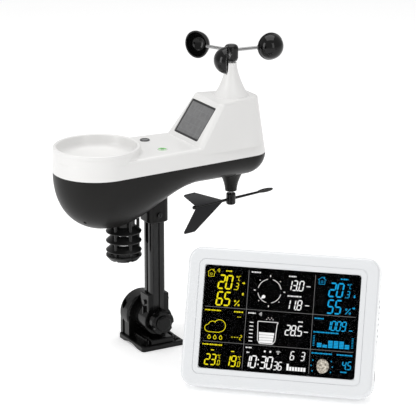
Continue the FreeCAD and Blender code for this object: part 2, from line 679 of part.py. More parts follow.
def make_lower_shell():
    line, seam, wall = dim("line_offset"), dim("seam_height"), dim("cover_wall")
    outer, inner = shell_solid(0), shell_solid(wall)
    wall_solid = outer.cut(inner)
    collar, socket, cone_solid = underside_flare()
    door_block = door_box(0)
    door = wall_solid.common(door_block)
    solid = wall_solid.cut(door_box(dim("door_gap")))
    solid = solid.fuse([collar, cone_solid])
    cutters = [socket, vane_bore()]
    cutters.append(Part.makeCylinder(dim("shaft_diameter") / 2 + 1.2, 60,
                                     Vector(dim("mast_place"), line, dim("vane_cone_bottom") - 5)))
    button_hole = Part.makeCylinder(dim("reset_radius") + dim("button_play"), 80,
                                    Vector(dim("reset_place"), line + dim("reset_offset"), seam - 80))
    cutters.append(button_hole)
    for side in (-1, 1):
        cutters.append(Part.makeCylinder(5, 30, Vector(dim("collector_place") + 24 * side, line, seam - 100)))
        cutters.append(Part.makeCylinder(2.8, 30, Vector(dim("bay_place") + side * (dim("door_length") / 2 + 6),
                                                         line, seam - 55)))
    for place_x, side in seam_screw_places():
        cutters.append(Part.makeCylinder(2.6, 80, Vector(place_x, line + side, seam - 84)))
    cutters.append(Part.makeCylinder(2.2, 60, Vector(0, line - 30, screw_height()), Y_AXIS))
    cutters.append(Part.makeCylinder(12, 60, Vector(dim("shield_place"), line, seam - 100)))
    shaped("lower_shell", solid.cut(cutters))
    shaped("battery_door", door)


def seam_screw_places():
    """Where the screws that close the two shells stand: X and the offset from the line."""
    return [(place_x, side * offset) for place_x, offset in ((-128.0, 24.0), (122.0, 32.0), (162.0, 14.0))
            for side in (-1, 1)]


def make_shell_screws():
    line, seam = dim("line_offset"), dim("seam_height")
    screws = []
    for place_x, side in seam_screw_places():
        bottom = seam - shell_depth(place_x, 0) * 0.72
        stem = Part.makeCylinder(1.5, seam - 2 - bottom, Vector(place_x, line + side, bottom))
        head = Part.makeCylinder(2.3, 2, Vector(place_x, line + side, bottom - 1))
        screws.append(stem.fuse(head))
    for side in (-1, 1):
        place_x = dim("bay_place") + side * (dim("door_length") / 2 + 6)
        bottom = seam - shell_depth(place_x, 0)
        head = Part.makeCylinder(2.6, 1.4, Vector(place_x, line, bottom - 1.3))
        screws.append(Part.makeCylinder(1.3, 9, Vector(place_x, line, bottom - 0.5)).fuse(head))
    shaped("shell_screws", Part.makeCompound(screws))


def cover_prism(inset):
    """The cover's low part, from the seam to the deck, leaning in a little."""
    seam, deck = dim("seam_height"), dim("deck_height") - inset
    solid = Part.makeLoft([outline_wire(inset, seam), outline_wire(inset, deck)], True, True)
    radius = max(dim("deck_round") - inset, 1.0)
    top = [edge for edge in solid.Edges if near(edge.BoundBox.ZMin, deck, 0.05)]
    return solid.makeFillet(radius, top)


def round_polygon(corners, radii, level):
    """A closed wire through plan corners, each rounded by its own radius."""
    count = len(corners)
    arcs = []
    for index in range(count):
        here, before, after = corners[index], corners[index - 1], corners[(index + 1) % count]
        way_in = (before - here).normalize()
        way_out = (after - here).normalize()
        half_angle = way_in.getAngle(way_out) / 2
        reach = radii[index] / math.tan(half_angle)
        middle = (way_in + way_out).normalize()
        depth = radii[index] / math.sin(half_angle) - radii[index]
        arcs.append((here + way_in * reach, here + middle * depth, here + way_out * reach))
    edges = []
    for index in range(count):
        edges.append(Part.Arc(*arcs[index]).toShape())
        edges.append(Part.LineSegment(arcs[index][2], arcs[(index + 1) % count][0]).toShape())
    wire = Part.Wire(edges)
    wire.translate(Vector(0, dim("line_offset"), level))
    return wire


def slope():
    """Rise of the tower's front face for each millimetre along X."""
    return (dim("tower_height") - dim("deck_height")) / (dim("tower_front") - dim("tower_foot"))


def tower_wire(inset, level):
    """The tower's section at a height, between its foot on the deck and its top."""
    foot, top = dim("deck_height"), dim("tower_height")
    share = (level - foot) / (top - foot)
    slant = inset * math.sqrt(1 + 1 / slope() ** 2)
    front = dim("tower_foot") + (level - foot) / slope() + slant
    foot_plan = body_outline(0, foot)
    back_foot, back_top = foot_plan["end"] - 0.4, dim("tower_back")
    back = back_foot + (back_top - back_foot) * share - inset
    front_foot = half_width(dim("tower_foot"), 0, foot) - 0.3
    front_half = front_foot + (dim("tower_front_half") - front_foot) * share - inset
    back_foot_half = half_width(foot_plan["bend"].x, 0, foot) - 0.6
    back_half = back_foot_half + (dim("tower_back_half") - back_foot_half) * share - inset
    front_round = max(dim("tower_front_round") - inset, 1.0)
    back_round = dim("end_corner") + (dim("tower_back_round") - dim("end_corner")) * share - inset
    corners = [Vector(front, -front_half, 0), Vector(back, -back_half, 0),
               Vector(back, back_half, 0), Vector(front, front_half, 0)]
    return round_polygon(corners, [front_round, back_round, back_round, front_round], level)


def tower_solid(inset):
    bottom = dim("deck_height") - 11
    top = dim("tower_height") - inset
    solid = Part.makeLoft([tower_wire(inset, bottom), tower_wire(inset, top)], True, True)
    edge_round = max(dim("tower_edge") - inset, 0.8)
    rim = [edge for edge in solid.Edges if near(edge.BoundBox.ZMin, top, 0.05)]
    return solid.makeFillet(edge_round, rim)


def mast_solid(inset):
    """The flared mast on the tower, turned from a hollow-sided profile."""
    low, high = dim("tower_height") - 3, dim("mast_height")
    wide, tip = dim("mast_base_radius") - inset, dim("mast_tip_radius")
    rise = high - dim("tower_height")
    curve = Part.BSplineCurve()
    curve.interpolate([Vector(wide, 0, low + 3), Vector(wide * 0.8, 0, low + 3 + rise * 0.16),
                       Vector(wide * 0.6, 0, low + 3 + rise * 0.38), Vector(wide * 0.42, 0, low + 3 + rise * 0.65),
                       Vector(tip, 0, high)])
    edges = [Part.LineSegment(Vector(0, 0, low), Vector(wide, 0, low)).toShape(),
             Part.LineSegment(Vector(wide, 0, low), Vector(wide, 0, low + 3)).toShape(), curve.toShape(),
             Part.LineSegment(Vector(tip, 0, high), Vector(0, 0, high)).toShape(),
             Part.LineSegment(Vector(0, 0, high), Vector(0, 0, low)).toShape()]
    solid = Part.Face(Part.Wire(edges)).revolve(Vector(0, 0, 0), Z_AXIS, 360)
    solid.translate(Vector(dim("mast_place"), dim("line_offset"), 0))
    return solid


def ring_top():
    """The cover's collector ring ends here; the funnel's rim stands on it."""
    return dim("rim_height") - 6.5


def ring_solid(inset):
    """Collector ring that flows into the deck, kept inside the body's outline."""
    radius, deck = dim("ring_radius") - inset, dim("deck_height")
    top = ring_top() if inset == 0 else dim("rim_height")
    flare = 4.5 if inset == 0 else 0.0
    low = dim("seam_height") + 4
    ring = Part.makeCylinder(radius, top - low, Vector(0, 0, low))
    if flare:
        profile = [Vector(radius - 1, 0, deck - 1), Vector(radius + flare, 0, deck - 1),
                   Vector(radius + flare, 0, deck)]
        foot_arc = Part.Arc(profile[2], Vector(radius + flare * 0.29, 0, deck + flare * 0.29),
                            Vector(radius, 0, deck + flare)).toShape()
        edges = [Part.LineSegment(profile[0], profile[1]).toShape(), Part.LineSegment(profile[1], profile[2]).toShape(),
                 foot_arc, Part.LineSegment(Vector(radius, 0, deck + flare), Vector(radius - 1, 0, deck + flare)).toShape(),
                 Part.LineSegment(Vector(radius - 1, 0, deck + flare), profile[0]).toShape()]
        skirt = Part.Face(Part.Wire(edges)).revolve(Vector(0, 0, 0), Z_AXIS, 360)
        keep = Part.makeBox(radius + 20, 1.85 * radius, 60, Vector(-2, -0.925 * radius, deck - 30))
        ring = ring.fuse(skirt.common(keep))
    ring.translate(Vector(dim("collector_place"), dim("line_offset"), 0))
    return ring


def panel_placement():
    """The solar panel's own frame: X across the body, Y up the slope, Z out of it."""
    middle_x = (dim("tower_foot") + dim("tower_front")) / 2 - 0.4
    middle_z = dim("deck_height") + (middle_x - dim("tower_foot")) * slope()
    steep = math.degrees(math.atan(slope()))
    spin = Rotation(Z_AXIS, -90).multiply(Rotation(X_AXIS, steep))
    return Placement(Vector(middle_x, dim("line_offset"), middle_z), spin)


def make_upper_cover():
    wall, line = dim("cover_wall"), dim("line_offset")
    outer = cover_prism(0).fuse([ring_solid(0), tower_solid(0), mast_solid(0)])
    inner = cover_prism(wall).fuse([ring_solid(wall), tower_solid(wall)])
    solid = outer.cut(inner)
    play = dim("panel_play")
    width, length = dim("panel_width") + 2 * play, dim("panel_length") + 2 * play
    window = Part.makeBox(width, length, 14, Vector(-width / 2, -length / 2, -8))
    window = window.makeFillet(2.5, [edge for edge in window.Edges if near(edge.Length, 14)])
    window.Placement = panel_placement()
    axis = Vector(dim("mast_place"), line, 0)
    bore = Part.makeCylinder(dim("bearing_diameter") / 2, 60, axis + Z_AXIS * (dim("mast_height") - 31.6))
    neck = Part.makeCylinder(dim("shaft_diameter") / 2 + 1, 90, axis + Z_AXIS * (dim("mast_height") - 60))
    bore_limit = Part.makeCylinder(dim("bearing_diameter") / 2, 30, axis + Z_AXIS * (dim("mast_height") - 31.6))
    spots = [Part.makeCylinder(dim("spot_radius") + 0.2, 12, Vector(0, line + side * dim("spot_offset"),
                                                                    dim("deck_height") - 8)) for side in (-1, 1)]
    shaped("upper_cover", solid.cut([window, bore.common(bore_limit), neck] + spots))


def make_shell_seal():
    """A rubber cord inside the joint of the two shells."""
    wall, seam = dim("cover_wall"), dim("seam_height")
    ring_outer = Part.Face(outline_wire(wall + 0.25, seam)).extrude(Z_AXIS * 2.4)
    ring_inner = Part.Face(outline_wire(wall + 2.4, seam)).extrude(Z_AXIS * 2.4)
    seal = ring_outer.cut(ring_inner)
    seal.translate(Vector(0, 0, -1.2))
    shaped("shell_seal", seal)


# ---------------------------------------------------------------- rain gauge

def make_rain_funnel():
    """Rim band and bowl, turned in one piece; the rim stands on the cover's ring."""
    low = "rim_height - 6.4"
    profile = [("ring_radius", low), ("ring_radius", "rim_height"),
               ("ring_radius - 5", "rim_height"), ("ring_radius - 8.6", "rim_height - 18"),
               ("7", "rim_height - 31"), ("5", "rim_height - 42"), ("6.6", "rim_height - 42"),
               ("9", "rim_height - 33"), ("ring_radius - 7.5", "rim_height - 21"), ("ring_radius - 3.4", low)]
    body = turned("funnel", profile, ("collector_place", "line_offset", "0"))
    soften(body, "2.3", lambda edge: near(edge.BoundBox.ZMin, value_of("rim_height")))
    soften(body, "12", lambda edge: is_circle(edge, "ring_radius - 8.6"))
    node(body, "rain_funnel")


def make_debris_filter():
    body = turned("filter_disc", [("0", "rim_height - 30.4"), ("9.5", "rim_height - 29.6"), ("9.5", "rim_height - 27.6"),
                                  ("0", "rim_height - 25")], ("collector_place", "line_offset", "0"))
    holes = [cylinder("sieve_hole_%d" % number, "1.1", "20",
                      ("collector_place + 6 * %.6f" % math.cos(math.pi * number / 4),
                       "line_offset + 6 * %.6f" % math.sin(math.pi * number / 4), "rim_height - 40"))
             for number in range(8)]
    node(cut("filter_sieve", body, holes), "debris_filter")


def make_bucket():
    """Two scoops back to back on one axle, with a magnet on the side wall."""
    body = new_body("bucket")
    outline = add_sketch(body, "bucket_outline", "XZ_Plane")
    half = "bucket_length/2"
    draw_polygon(outline, [("0", "-7"), (half, "7"), (half, "10"), ("0", "22"), ("-" + half, "10"), ("-" + half, "7")])
    pad(body, outline, "bucket_width", midplane=True)
    for side in ("", "-"):
        scoop = add_sketch(body, "scoop_right" if side == "" else "scoop_left", "XZ_Plane")
        draw_polygon(scoop, [(side + "0.8", "-4.6"), (side + "(%s + 1)" % half, "9.4"),
                             (side + "(%s + 1)" % half, "30"), (side + "0.8", "30")])
        pocket(body, scoop, "bucket_width - 3", midplane=True)
    doc.recompute()
    place(body, ("collector_place", "line_offset", "bucket_height"))
    lug = cylinder("bucket_lug", "4.5", "bucket_width", ("collector_place", "line_offset - bucket_width/2",
                                                         "bucket_height - 8"), "Y")
    bore = cylinder("bucket_bore", "axle_diameter/2", "60", ("collector_place", "line_offset - 30",
                                                             "bucket_height - 8"), "Y")
    seat = block("magnet_seat", "8.2", "4", "5.2", ("collector_place - 4.1", "line_offset + bucket_width/2 - 1.5",
                                                    "bucket_height + 9.4"))
    bucket = cut("bucket_cut", fuse("bucket_fuse", [body, lug]), [bore, seat])
    node(bucket, "tipping_bucket")
    node(block("bucket_magnet_block", "8", "3", "5", ("collector_place - 4", "line_offset + bucket_width/2 - 1.5",
                                                      "bucket_height + 9.5")), "bucket_magnet")
    node(cylinder("axle", "axle_diameter/2", "bucket_width + 12",
                  ("collector_place", "line_offset - bucket_width/2 - 6", "bucket_height - 8"), "Y"), "bucket_axle")


def make_cradle():
    """Bearing posts for the axle, two rubber stops and a base bar, on the shell's floor."""
    parts = []
    for number, side in enumerate((-1, 1)):
        low_y = "line_offset + %d * (bucket_width/2 + 4.5) - 1.75" % side
        parts.append(block("cradle_post_%d" % number, "12", "3.5", "33",
                           ("collector_place - 6", low_y, "bucket_height - 33")))
        parts.append(block("cradle_stop_%d" % number, "4", "bucket_width + 12.5", "12",
                           ("collector_place + %d * 24 - 2" % side, "line_offset - bucket_width/2 - 6.25",
                            "bucket_height - 17")))
        parts.append(block("cradle_rail_%d" % number, "52", "3.5", "4",
                           ("collector_place - 26", low_y, "bucket_height - 17.5")))
    bores = [cylinder("axle_seat", "axle_diameter/2 + shaft_play", "80",
                      ("collector_place", "line_offset - 40", "bucket_height - 8"), "Y")]
    node(cut("cradle", fuse("cradle_frame", parts), bores), "bucket_cradle")


def make_reed_switch():
    switch = block("reed_board", "14", "1.6", "22", ("collector_place - 7", "line_offset + bucket_width/2 + 7",
                                                     "bucket_height - 2"))
    node(switch, "reed_switch_board")


# ---------------------------------------------------------------- electronics and power

def make_main_board():
    board = block("board_plate", "64", "72", "1.6", ("bay_place - 36", "line_offset - 36", "seam_height + 4"))
    parts = [("chip", "12", "12", "1.6", "-10", "-6"), ("radio", "18", "14", "3", "8", "14"),
             ("crystal", "5", "3", "2.5", "-20", "14"), ("plug", "10", "6", "6", "-28", "-26"),
             ("capacitor", "8", "8", "9", "14", "-24")]
    chips = [block("board_" + name, long_x, long_y, high,
                   ("bay_place + %s" % at_x, "line_offset + %s" % at_y, "seam_height + 5.5"))
             for name, long_x, long_y, high, at_x, at_y in parts]
    node(fuse("main_board_fuse", [board] + chips), "main_board")


def cell_places():
    return ["bay_place + %d * cell_pitch" % number for number in (-1, 0, 1)]


def make_battery_bay():
    level = "seam_height - waist_depth + 14"
    cells = []
    for number, place_x in enumerate(cell_places()):
        can = cylinder("cell_can_%d" % number, "cell_diameter/2 - 0.2", "cell_length - 1.5",
                       (place_x, "line_offset - cell_length/2", level), "Y")
        tip = cylinder("cell_tip_%d" % number, "2.7", "2", (place_x, "line_offset + cell_length/2 - 2", level), "Y")
        cells.append(fuse("cell_%d" % number, [can, tip]))
    node(compound("cell_group", cells), "battery_cells")
    tray = block("tray_block", "3*cell_pitch + 3", "cell_length + 5", "14",
                 ("bay_place - 1.5*cell_pitch - 1.5", "line_offset - cell_length/2 - 2.5", level))
    wells = [cylinder("cell_well_%d" % number, "cell_diameter/2", "cell_length + 1",
                      (place_x, "line_offset - cell_length/2 - 0.5", level), "Y")
             for number, place_x in enumerate(cell_places())]
    springs = []
    for number, place_x in enumerate(cell_places()):
        springs.append(cone("contact_%d" % number, "4.2", "2.4", "1.3",
                            (place_x, "line_offset - cell_length/2 - 1.6", level), "Y"))
    node(compound("holder_group", [cut("tray", tray, wells)] + springs), "battery_holder")


def make_reset_button():
    line = dim("line_offset")
    place_x, offset = dim("reset_place"), dim("reset_offset")
    wide = half_width(place_x, 0, dim("seam_height"))
    bottom = dim("seam_height") - shell_depth(place_x, 0) * math.sqrt(1 - (offset / wide) ** 2)
    button = Part.makeCylinder(dim("reset_radius"), 9, Vector(place_x, line + offset, bottom - 0.6))
    button = button.makeFillet(0.8, [edge for edge in button.Edges if near(edge.BoundBox.ZMax, bottom - 0.6)])
    shaped("reset_button", button)


def make_solar_panel():
    width, length, thick = dim("panel_width"), dim("panel_length"), dim("panel_thickness")
    sheet_solid = Part.makeBox(width, length, thick, Vector(-width / 2, -length / 2, -thick - dim("panel_recess")))
    sheet_solid = sheet_solid.makeFillet(2.2, [edge for edge in sheet_solid.Edges if near(edge.Length, thick)])
    border = 3.0
    pane = Part.makeBox(width - 2 * border, length - 2 * border, 2,
                        Vector(border - width / 2, border - length / 2, -0.8 - dim("panel_recess")))
    frame_solid = sheet_solid.cut(pane)
    cells = Part.makeBox(width - 2 * border - 0.1, length - 2 * border - 0.1, 0.7,
                         Vector(border + 0.05 - width / 2, border + 0.05 - length / 2, -0.8 - dim("panel_recess")))
    shaped("solar_frame", frame_solid, panel_placement())
    shaped("solar_cells", cells, panel_placement())


def make_deck_spots():
    line, deck, radius = dim("line_offset"), dim("deck_height"), dim("spot_radius")
    for side, label, rise in ((1, "light_sensor_dome", 0.9), (-1, "level_vial", 0.4)):
        spot = Part.makeCylinder(radius, 6 + rise, Vector(0, line + side * dim("spot_offset"), deck - 6))
        spot = spot.makeFillet(0.35, [edge for edge in spot.Edges if near(edge.BoundBox.ZMin, deck + rise)])
        shaped(label, spot)


# ---------------------------------------------------------------- wind cups

def make_bearings(label, first, second):
    rings = []
    for number, level in enumerate((first, second)):
        at = ("mast_place", "line_offset", level)
        rings.append(cut("%s_ring_%d" % (label, number),
                         cylinder("%s_out_%d" % (label, number), "bearing_diameter/2 - 0.02", "bearing_height", at),
                         [cylinder("%s_in_%d" % (label, number), "shaft_diameter/2 + shaft_play", "20",
                                   ("mast_place", "line_offset", level + " - 5"))]))
    node(compound(label + "_pair", rings), label)


def cup_angles():
    return [dim("cup_start_angle") + 120 * number for number in range(3)]


def around_mast(shape, angle):
    """Turn a shape about the wind sensors' axis and carry it there."""
    moved = shape.copy()
    moved.rotate(Vector(0, 0, 0), Z_AXIS, angle)
    moved.translate(Vector(dim("mast_place"), dim("line_offset"), 0))
    return moved


def make_rotor():
    body = turned("hub", [("0", "rotor_bottom"), ("rotor_radius - 1.5", "rotor_bottom"), ("rotor_radius", "rotor_bottom + 4"),
                          ("rotor_radius", "rotor_top"), ("0", "rotor_top")], ("mast_place", "line_offset", "0"))
    soften(body, "5.5", lambda edge: is_circle(edge, "rotor_radius", "rotor_top"))
    socket = cylinder("hub_bore", "shaft_diameter/2", "14", ("mast_place", "line_offset", "rotor_bottom - 1"))
    node(cut("hub_cut", body, [socket]), "rotor_hub")
    node(cylinder("rotor_pin", "shaft_diameter/2", "rotor_bottom + 12 - (mast_height - 62)",
                  ("mast_place", "line_offset", "mast_height - 62")), "rotor_shaft")
    magnet = cut("rotor_magnet_ring", cylinder("rotor_magnet_out", "6", "3", ("mast_place", "line_offset",
                                                                               "mast_height - 60.5")),
                 [cylinder("rotor_magnet_in", "shaft_diameter/2", "9", ("mast_place", "line_offset",
                                                                         "mast_height - 64"))])
    node(magnet, "rotor_magnet")
    make_bearings("rotor_bearings", "mast_height - 5.8", "mast_height - 31.2")
    arm_radius, level = dim("arm_diameter") / 2, dim("arm_height")
    reach, radius, wall = dim("cup_reach"), dim("cup_radius"), dim("cup_wall")
    arms, cups = [], []
    for angle in cup_angles():
        start = dim("rotor_radius") - 1.5
        arm = Part.makeCylinder(arm_radius, reach - radius + 1.2 - start, Vector(start, 0, level), X_AXIS)
        arms.append(around_mast(arm, angle))
        cup = cup_shell(radius, wall).translated(Vector(reach, 0, level))
        hole = Part.makeCylinder(arm_radius, reach - radius + 1.2, Vector(0, 0, level), X_AXIS)
        cups.append(around_mast(cup.cut(hole), angle))
    hub_shape = turned_core()
    shaped("cup_arms", Part.makeCompound([arm.cut(hub_shape) for arm in arms]))
    shaped("wind_cups", Part.makeCompound(cups))


def cup_shell(radius, wall):
    """A hemispherical cup with a lip, open towards +Y, with a boss on the side of the arm."""
    lip, inner = radius + 0.7, radius - wall
    slant = math.sqrt(0.5)
    lip_low = -1.6
    meet = math.sqrt(radius ** 2 - lip_low ** 2)
    corners = [Vector(0, -radius, 0), Vector(meet, lip_low, 0), Vector(lip, lip_low, 0), Vector(lip, 0, 0),
               Vector(inner, 0, 0), Vector(0, -inner, 0)]
    edges = [Part.Arc(corners[0], Vector(radius * slant, -radius * slant, 0), corners[1]).toShape(),
             Part.LineSegment(corners[1], corners[2]).toShape(), Part.LineSegment(corners[2], corners[3]).toShape(),
             Part.LineSegment(corners[3], corners[4]).toShape(),
             Part.Arc(corners[4], Vector(inner * slant, -inner * slant, 0), corners[5]).toShape(),
             Part.LineSegment(corners[5], corners[0]).toShape()]
    bowl = Part.Face(Part.Wire(edges)).revolve(Vector(0, 0, 0), Y_AXIS, 360)
    boss = Part.makeBox(5.6, 4.4, 7, Vector(-radius - 0.8, -3.9, -3.5))
    inside = Part.makeSphere(radius - wall / 2)
    return bowl.fuse(boss.cut(inside))


def turned_core():
    """The part of the hub that the arms end against."""
    height = dim("rotor_top") - dim("rotor_bottom")
    core = Part.makeCylinder(dim("rotor_radius"), height, Vector(0, 0, dim("rotor_bottom")))
    return around_mast(core, 0)


# ---------------------------------------------------------------- wind vane

def vane_placed(shape):
    return around_mast(shape, dim("vane_yaw"))


def make_vane():
    level, hub_high = dim("vane_height"), dim("vane_hub_height")
    hub_radius = dim("vane_hub_radius")
    hub_low = level - hub_high * 0.42
    hub = Part.makeCylinder(hub_radius, hub_high - 1.4, Vector(0, 0, hub_low))
    hub = hub.makeFillet(2.4, [edge for edge in hub.Edges if edge.Closed])
    bore = Part.makeCylinder(dim("shaft_diameter") / 2, 30, Vector(0, 0, hub_low + 3))
    shaped("vane_hub", vane_placed(hub.cut(bore)))
    shaft_top = dim("seam_height") - dim("waist_depth") + 12
    shaft = Part.makeCylinder(dim("shaft_diameter") / 2, shaft_top - hub_low - 3, Vector(0, 0, hub_low + 3))
    shaped("vane_shaft", vane_placed(shaft))
    magnet = Part.makeCylinder(6, 3, Vector(0, 0, shaft_top - 3)).cut(
        Part.makeCylinder(dim("shaft_diameter") / 2, 9, Vector(0, 0, shaft_top - 6)))
    shaped("vane_magnet", vane_placed(magnet))
    make_bearings("vane_bearings", "vane_cone_bottom + 1.8", "vane_cone_bottom + 27.6")
    radius = dim("vane_arm_diameter") / 2
    core = Part.makeCylinder(hub_radius, hub_high - 9, Vector(0, 0, hub_low))
    leaf_start, nose, tail = dim("vane_nose") - 29, dim("vane_nose"), dim("vane_tail")
    front = Part.makeCone(radius, radius * 0.85, leaf_start, Vector(0, 0, level), X_AXIS)
    leaf = Part.makeCylinder(1, 1.6, Vector(0, 0, 0))
    matrix = FreeCAD.Matrix()
    matrix.scale(15.5, 4.6, 1)
    leaf = leaf.transformGeometry(matrix)
    leaf.rotate(Vector(0, 0, 0), X_AXIS, 12)
    leaf.translate(Vector(nose - 15.5, 0, level - 0.4))
    rear = Part.makeCylinder(radius, tail, Vector(-tail, 0, level), X_AXIS)
    ball = Part.makeSphere(radius * 1.35, Vector(-tail - 0.5, 0, level))
    shaped("vane_arm", vane_placed(front.fuse([leaf, rear, ball]).cut(core)))
    thick, span = dim("fin_thickness"), dim("fin_span")
    corners = [Vector(-14, 0, 0), Vector(-tail + 4, 0, 0), Vector(-tail - 37.7, span, 0), Vector(-tail - 14.6, span, 0)]
    fins = []
    for side in (-1, 1):
        outline = Part.makePolygon(corners + [corners[0]])
        fin = Part.Face(outline).extrude(Z_AXIS * thick)
        fin = fin.makeFillet(2.0, [edge for edge in fin.Edges
                                   if near(edge.Length, thick) and edge.CenterOfMass.y > span / 2])
        fin.translate(Vector(0, 0, -thick / 2))
        fin.rotate(Vector(0, 0, 0), X_AXIS, 180 + side * dim("fin_angle"))
        fin.translate(Vector(0, 0, level))
        fins.append(fin)
    trough = fins[0].fuse(fins[1]).cut(Part.makeCylinder(radius, tail, Vector(-tail, 0, level), X_AXIS))
    trough = trough.cut(ball)
    shaped("vane_tail", vane_placed(trough))


# ---------------------------------------------------------------- radiation shield

def shield_post_places():
    return [(dim("shield_place") + 21.6 * math.cos(math.radians(angle)),
             dim("line_offset") + 21.6 * math.sin(math.radians(angle))) for angle in (-90, -30, 90, 210)]


def make_shield():
    top, pitch = dim("shield_top"), dim("shield_pitch")
    radius, wall = dim("shield_radius"), dim("shield_wall")
    axis = Vector(dim("shield_place"), dim("line_offset"), 0)
    profile = [Vector(13, 0, 4), Vector(18, 0, 4), Vector(radius - 1.2, 0, -3.2), Vector(radius, 0, -4.4),
               Vector(radius - 0.4, 0, -5.8), Vector(radius - 2.2, 0, -5.4), Vector(17, 0, 4 - wall),
               Vector(13, 0, 4 - wall)]
    section = Part.Face(Part.makePolygon(profile + [profile[0]]))
    plate = section.revolve(Vector(0, 0, 0), Z_AXIS, 360)
    bores = [Part.makeCylinder(dim("post_diameter") / 2, 40, Vector(place_x, place_y, -20) - axis)
             for place_x, place_y in shield_post_places()]
    plate = plate.cut(bores)
    plates = [plate.translated(axis + Z_AXIS * (top - pitch * number)) for number in range(3)]
    shaped("shield_plates", Part.makeCompound(plates))
    low = top - pitch * 3
    cap = Part.makeCone(radius - 5, radius, 6, Vector(0, 0, -5)).fuse(Part.makeCylinder(radius, 2.2, Vector(0, 0, 1)))
    cap = cap.makeFillet(1.0, [edge for edge in cap.Edges if edge.Closed and near(edge.BoundBox.ZMax, 3.2)])
    well = Part.makeCylinder(radius - 7, 5, Vector(0, 0, -0.4))
    boss = Part.makeCylinder(5.5, 5, Vector(0, 0, -9.5))
    cap = cap.fuse(boss).cut([well] + bores).translated(axis + Z_AXIS * low)
    shaped("shield_cap", cap)
    posts = []
    for place_x, place_y in shield_post_places():
        wide = half_width(place_x, 0, dim("seam_height"))
        drop = shell_depth(place_x, 0) * math.sqrt(1 - ((place_y - dim("line_offset")) / wide) ** 2) ** 0.92
        high = dim("seam_height") - drop + 1.5
        posts.append(Part.makeCylinder(dim("post_diameter") / 2, high - low + 3, Vector(place_x, place_y, low - 3)))
    skirt = Part.makeCone(17, 18.5, 30, Vector(0, 0, 4.3)).cut(Part.makeCylinder(12.5, 60))
    skirt = skirt.translated(axis + Z_AXIS * top).cut(shell_solid(0))
    shaped("shield_posts", Part.makeCompound(posts + skirt.Solids[:1]))
    probe = Part.makeCylinder(4.5, 34, Vector(dim("shield_place"), dim("line_offset"), top - 25))
    stalk = Part.makeCylinder(2.5, 60, Vector(dim("shield_place"), dim("line_offset"), top + 5))
    shaped("humidity_probe", probe.fuse(stalk))


def make_pole_screws():
    line, level = dim("line_offset"), screw_height()
    outside = dim("pole_side") / 2 + dim("socket_wall")
    stem = Part.makeCylinder(1.95, 2 * outside + 8, Vector(0, line - outside - 2, level), Y_AXIS)
    head = Part.makeCylinder(3.8, 2.6, Vector(0, line - outside - 2.6, level), Y_AXIS)
    cross = Part.makeBox(1, 1.4, 5, Vector(-0.5, line - outside - 2.7, level - 2.5))
    low_stem = Part.makeCylinder(1.95, 2 * outside + 8, Vector(-outside - 2, line, knuckle_screw_height()), X_AXIS)
    low_head = Part.makeCylinder(3.8, 2.6, Vector(-outside - 2.6, line, knuckle_screw_height()), X_AXIS)
    shaped("pole_screws", Part.makeCompound([stem.fuse(head).cut(cross), low_stem.fuse(low_head)]))
    nut_upper = hexagon(3.9, 3.0)
    nut_upper.Placement = Placement(Vector(0, line + outside + 0.2, level), TURN["Y"])
    nut_lower = hexagon(3.9, 3.0)
    nut_lower.Placement = Placement(Vector(outside + 0.2, line, knuckle_screw_height()), TURN["X"])
    shaped("pole_nuts", Part.makeCompound([nut_upper, nut_lower]))


def hexagon(radius, height):
    corners = [Vector(radius * math.cos(math.pi * k / 3), radius * math.sin(math.pi * k / 3), 0) for k in range(7)]
    nut = Part.Face(Part.makePolygon(corners)).extrude(Z_AXIS * height)
    return nut.cut(Part.makeCylinder(1.95, height, Vector(0, 0, 0)))


# ---------------------------------------------------------------- console

def console_placement():
    """The console's own frame: X across, Y into the screen, Z up the face."""
    lean, round_edge = math.radians(dim("lean")), dim("console_edge")
    back = dim("console_depth") - round_edge
    lift = back * math.sin(lean) + round_edge - round_edge * math.cos(lean)
    spin = Rotation(Z_AXIS, dim("console_yaw")).multiply(Rotation(X_AXIS, -dim("lean")))
    return Placement(Vector(dim("console_x"), dim("console_y"), lift), spin), lift


def console_piece(label, shape):
    return shaped(label, shape, console_placement()[0])


def rounded_slab(width, height, corner, front, back):
    """A plate in the console's frame, centred on X, from Z 0 up, rounded at its corners."""
    half = width / 2
    slab = Part.makeBox(width, back - front, height, Vector(-half, front, 0))
    return slab.makeFillet(corner, [edge for edge in slab.Edges if near(edge.Length, back - front)
                                    and near(abs(edge.CenterOfMass.x), half)])


def console_form(inset):
    depth, edge_round = dim("console_depth"), dim("console_edge")
    slab = rounded_slab(dim("console_width") - 2 * inset, dim("console_height") - 2 * inset,
                        dim("console_corner") - inset, inset, depth - inset)
    slab.translate(Vector(0, 0, inset))
    rim = [edge for edge in slab.Edges if near(edge.BoundBox.YMin, edge.BoundBox.YMax)]
    return slab.makeFillet(max(edge_round - inset, 1.0), rim)


def console_cut(form, front, back):
    return form.common(Part.makeBox(400, back - front, 400, Vector(-200, front, -50)))


def back_button_places():
    return [(-94.0, 60.0 + dim("button_pitch") * number) for number in range(5)]


def console_screw_places():
    return [(side * (dim("console_width") / 2 - 19), level) for side in (-1, 1)
            for level in (19, dim("console_height") - 19)]


def battery_bay_size():
    return dim("cell_length") + 13, 3 * dim("cell_pitch") + 4


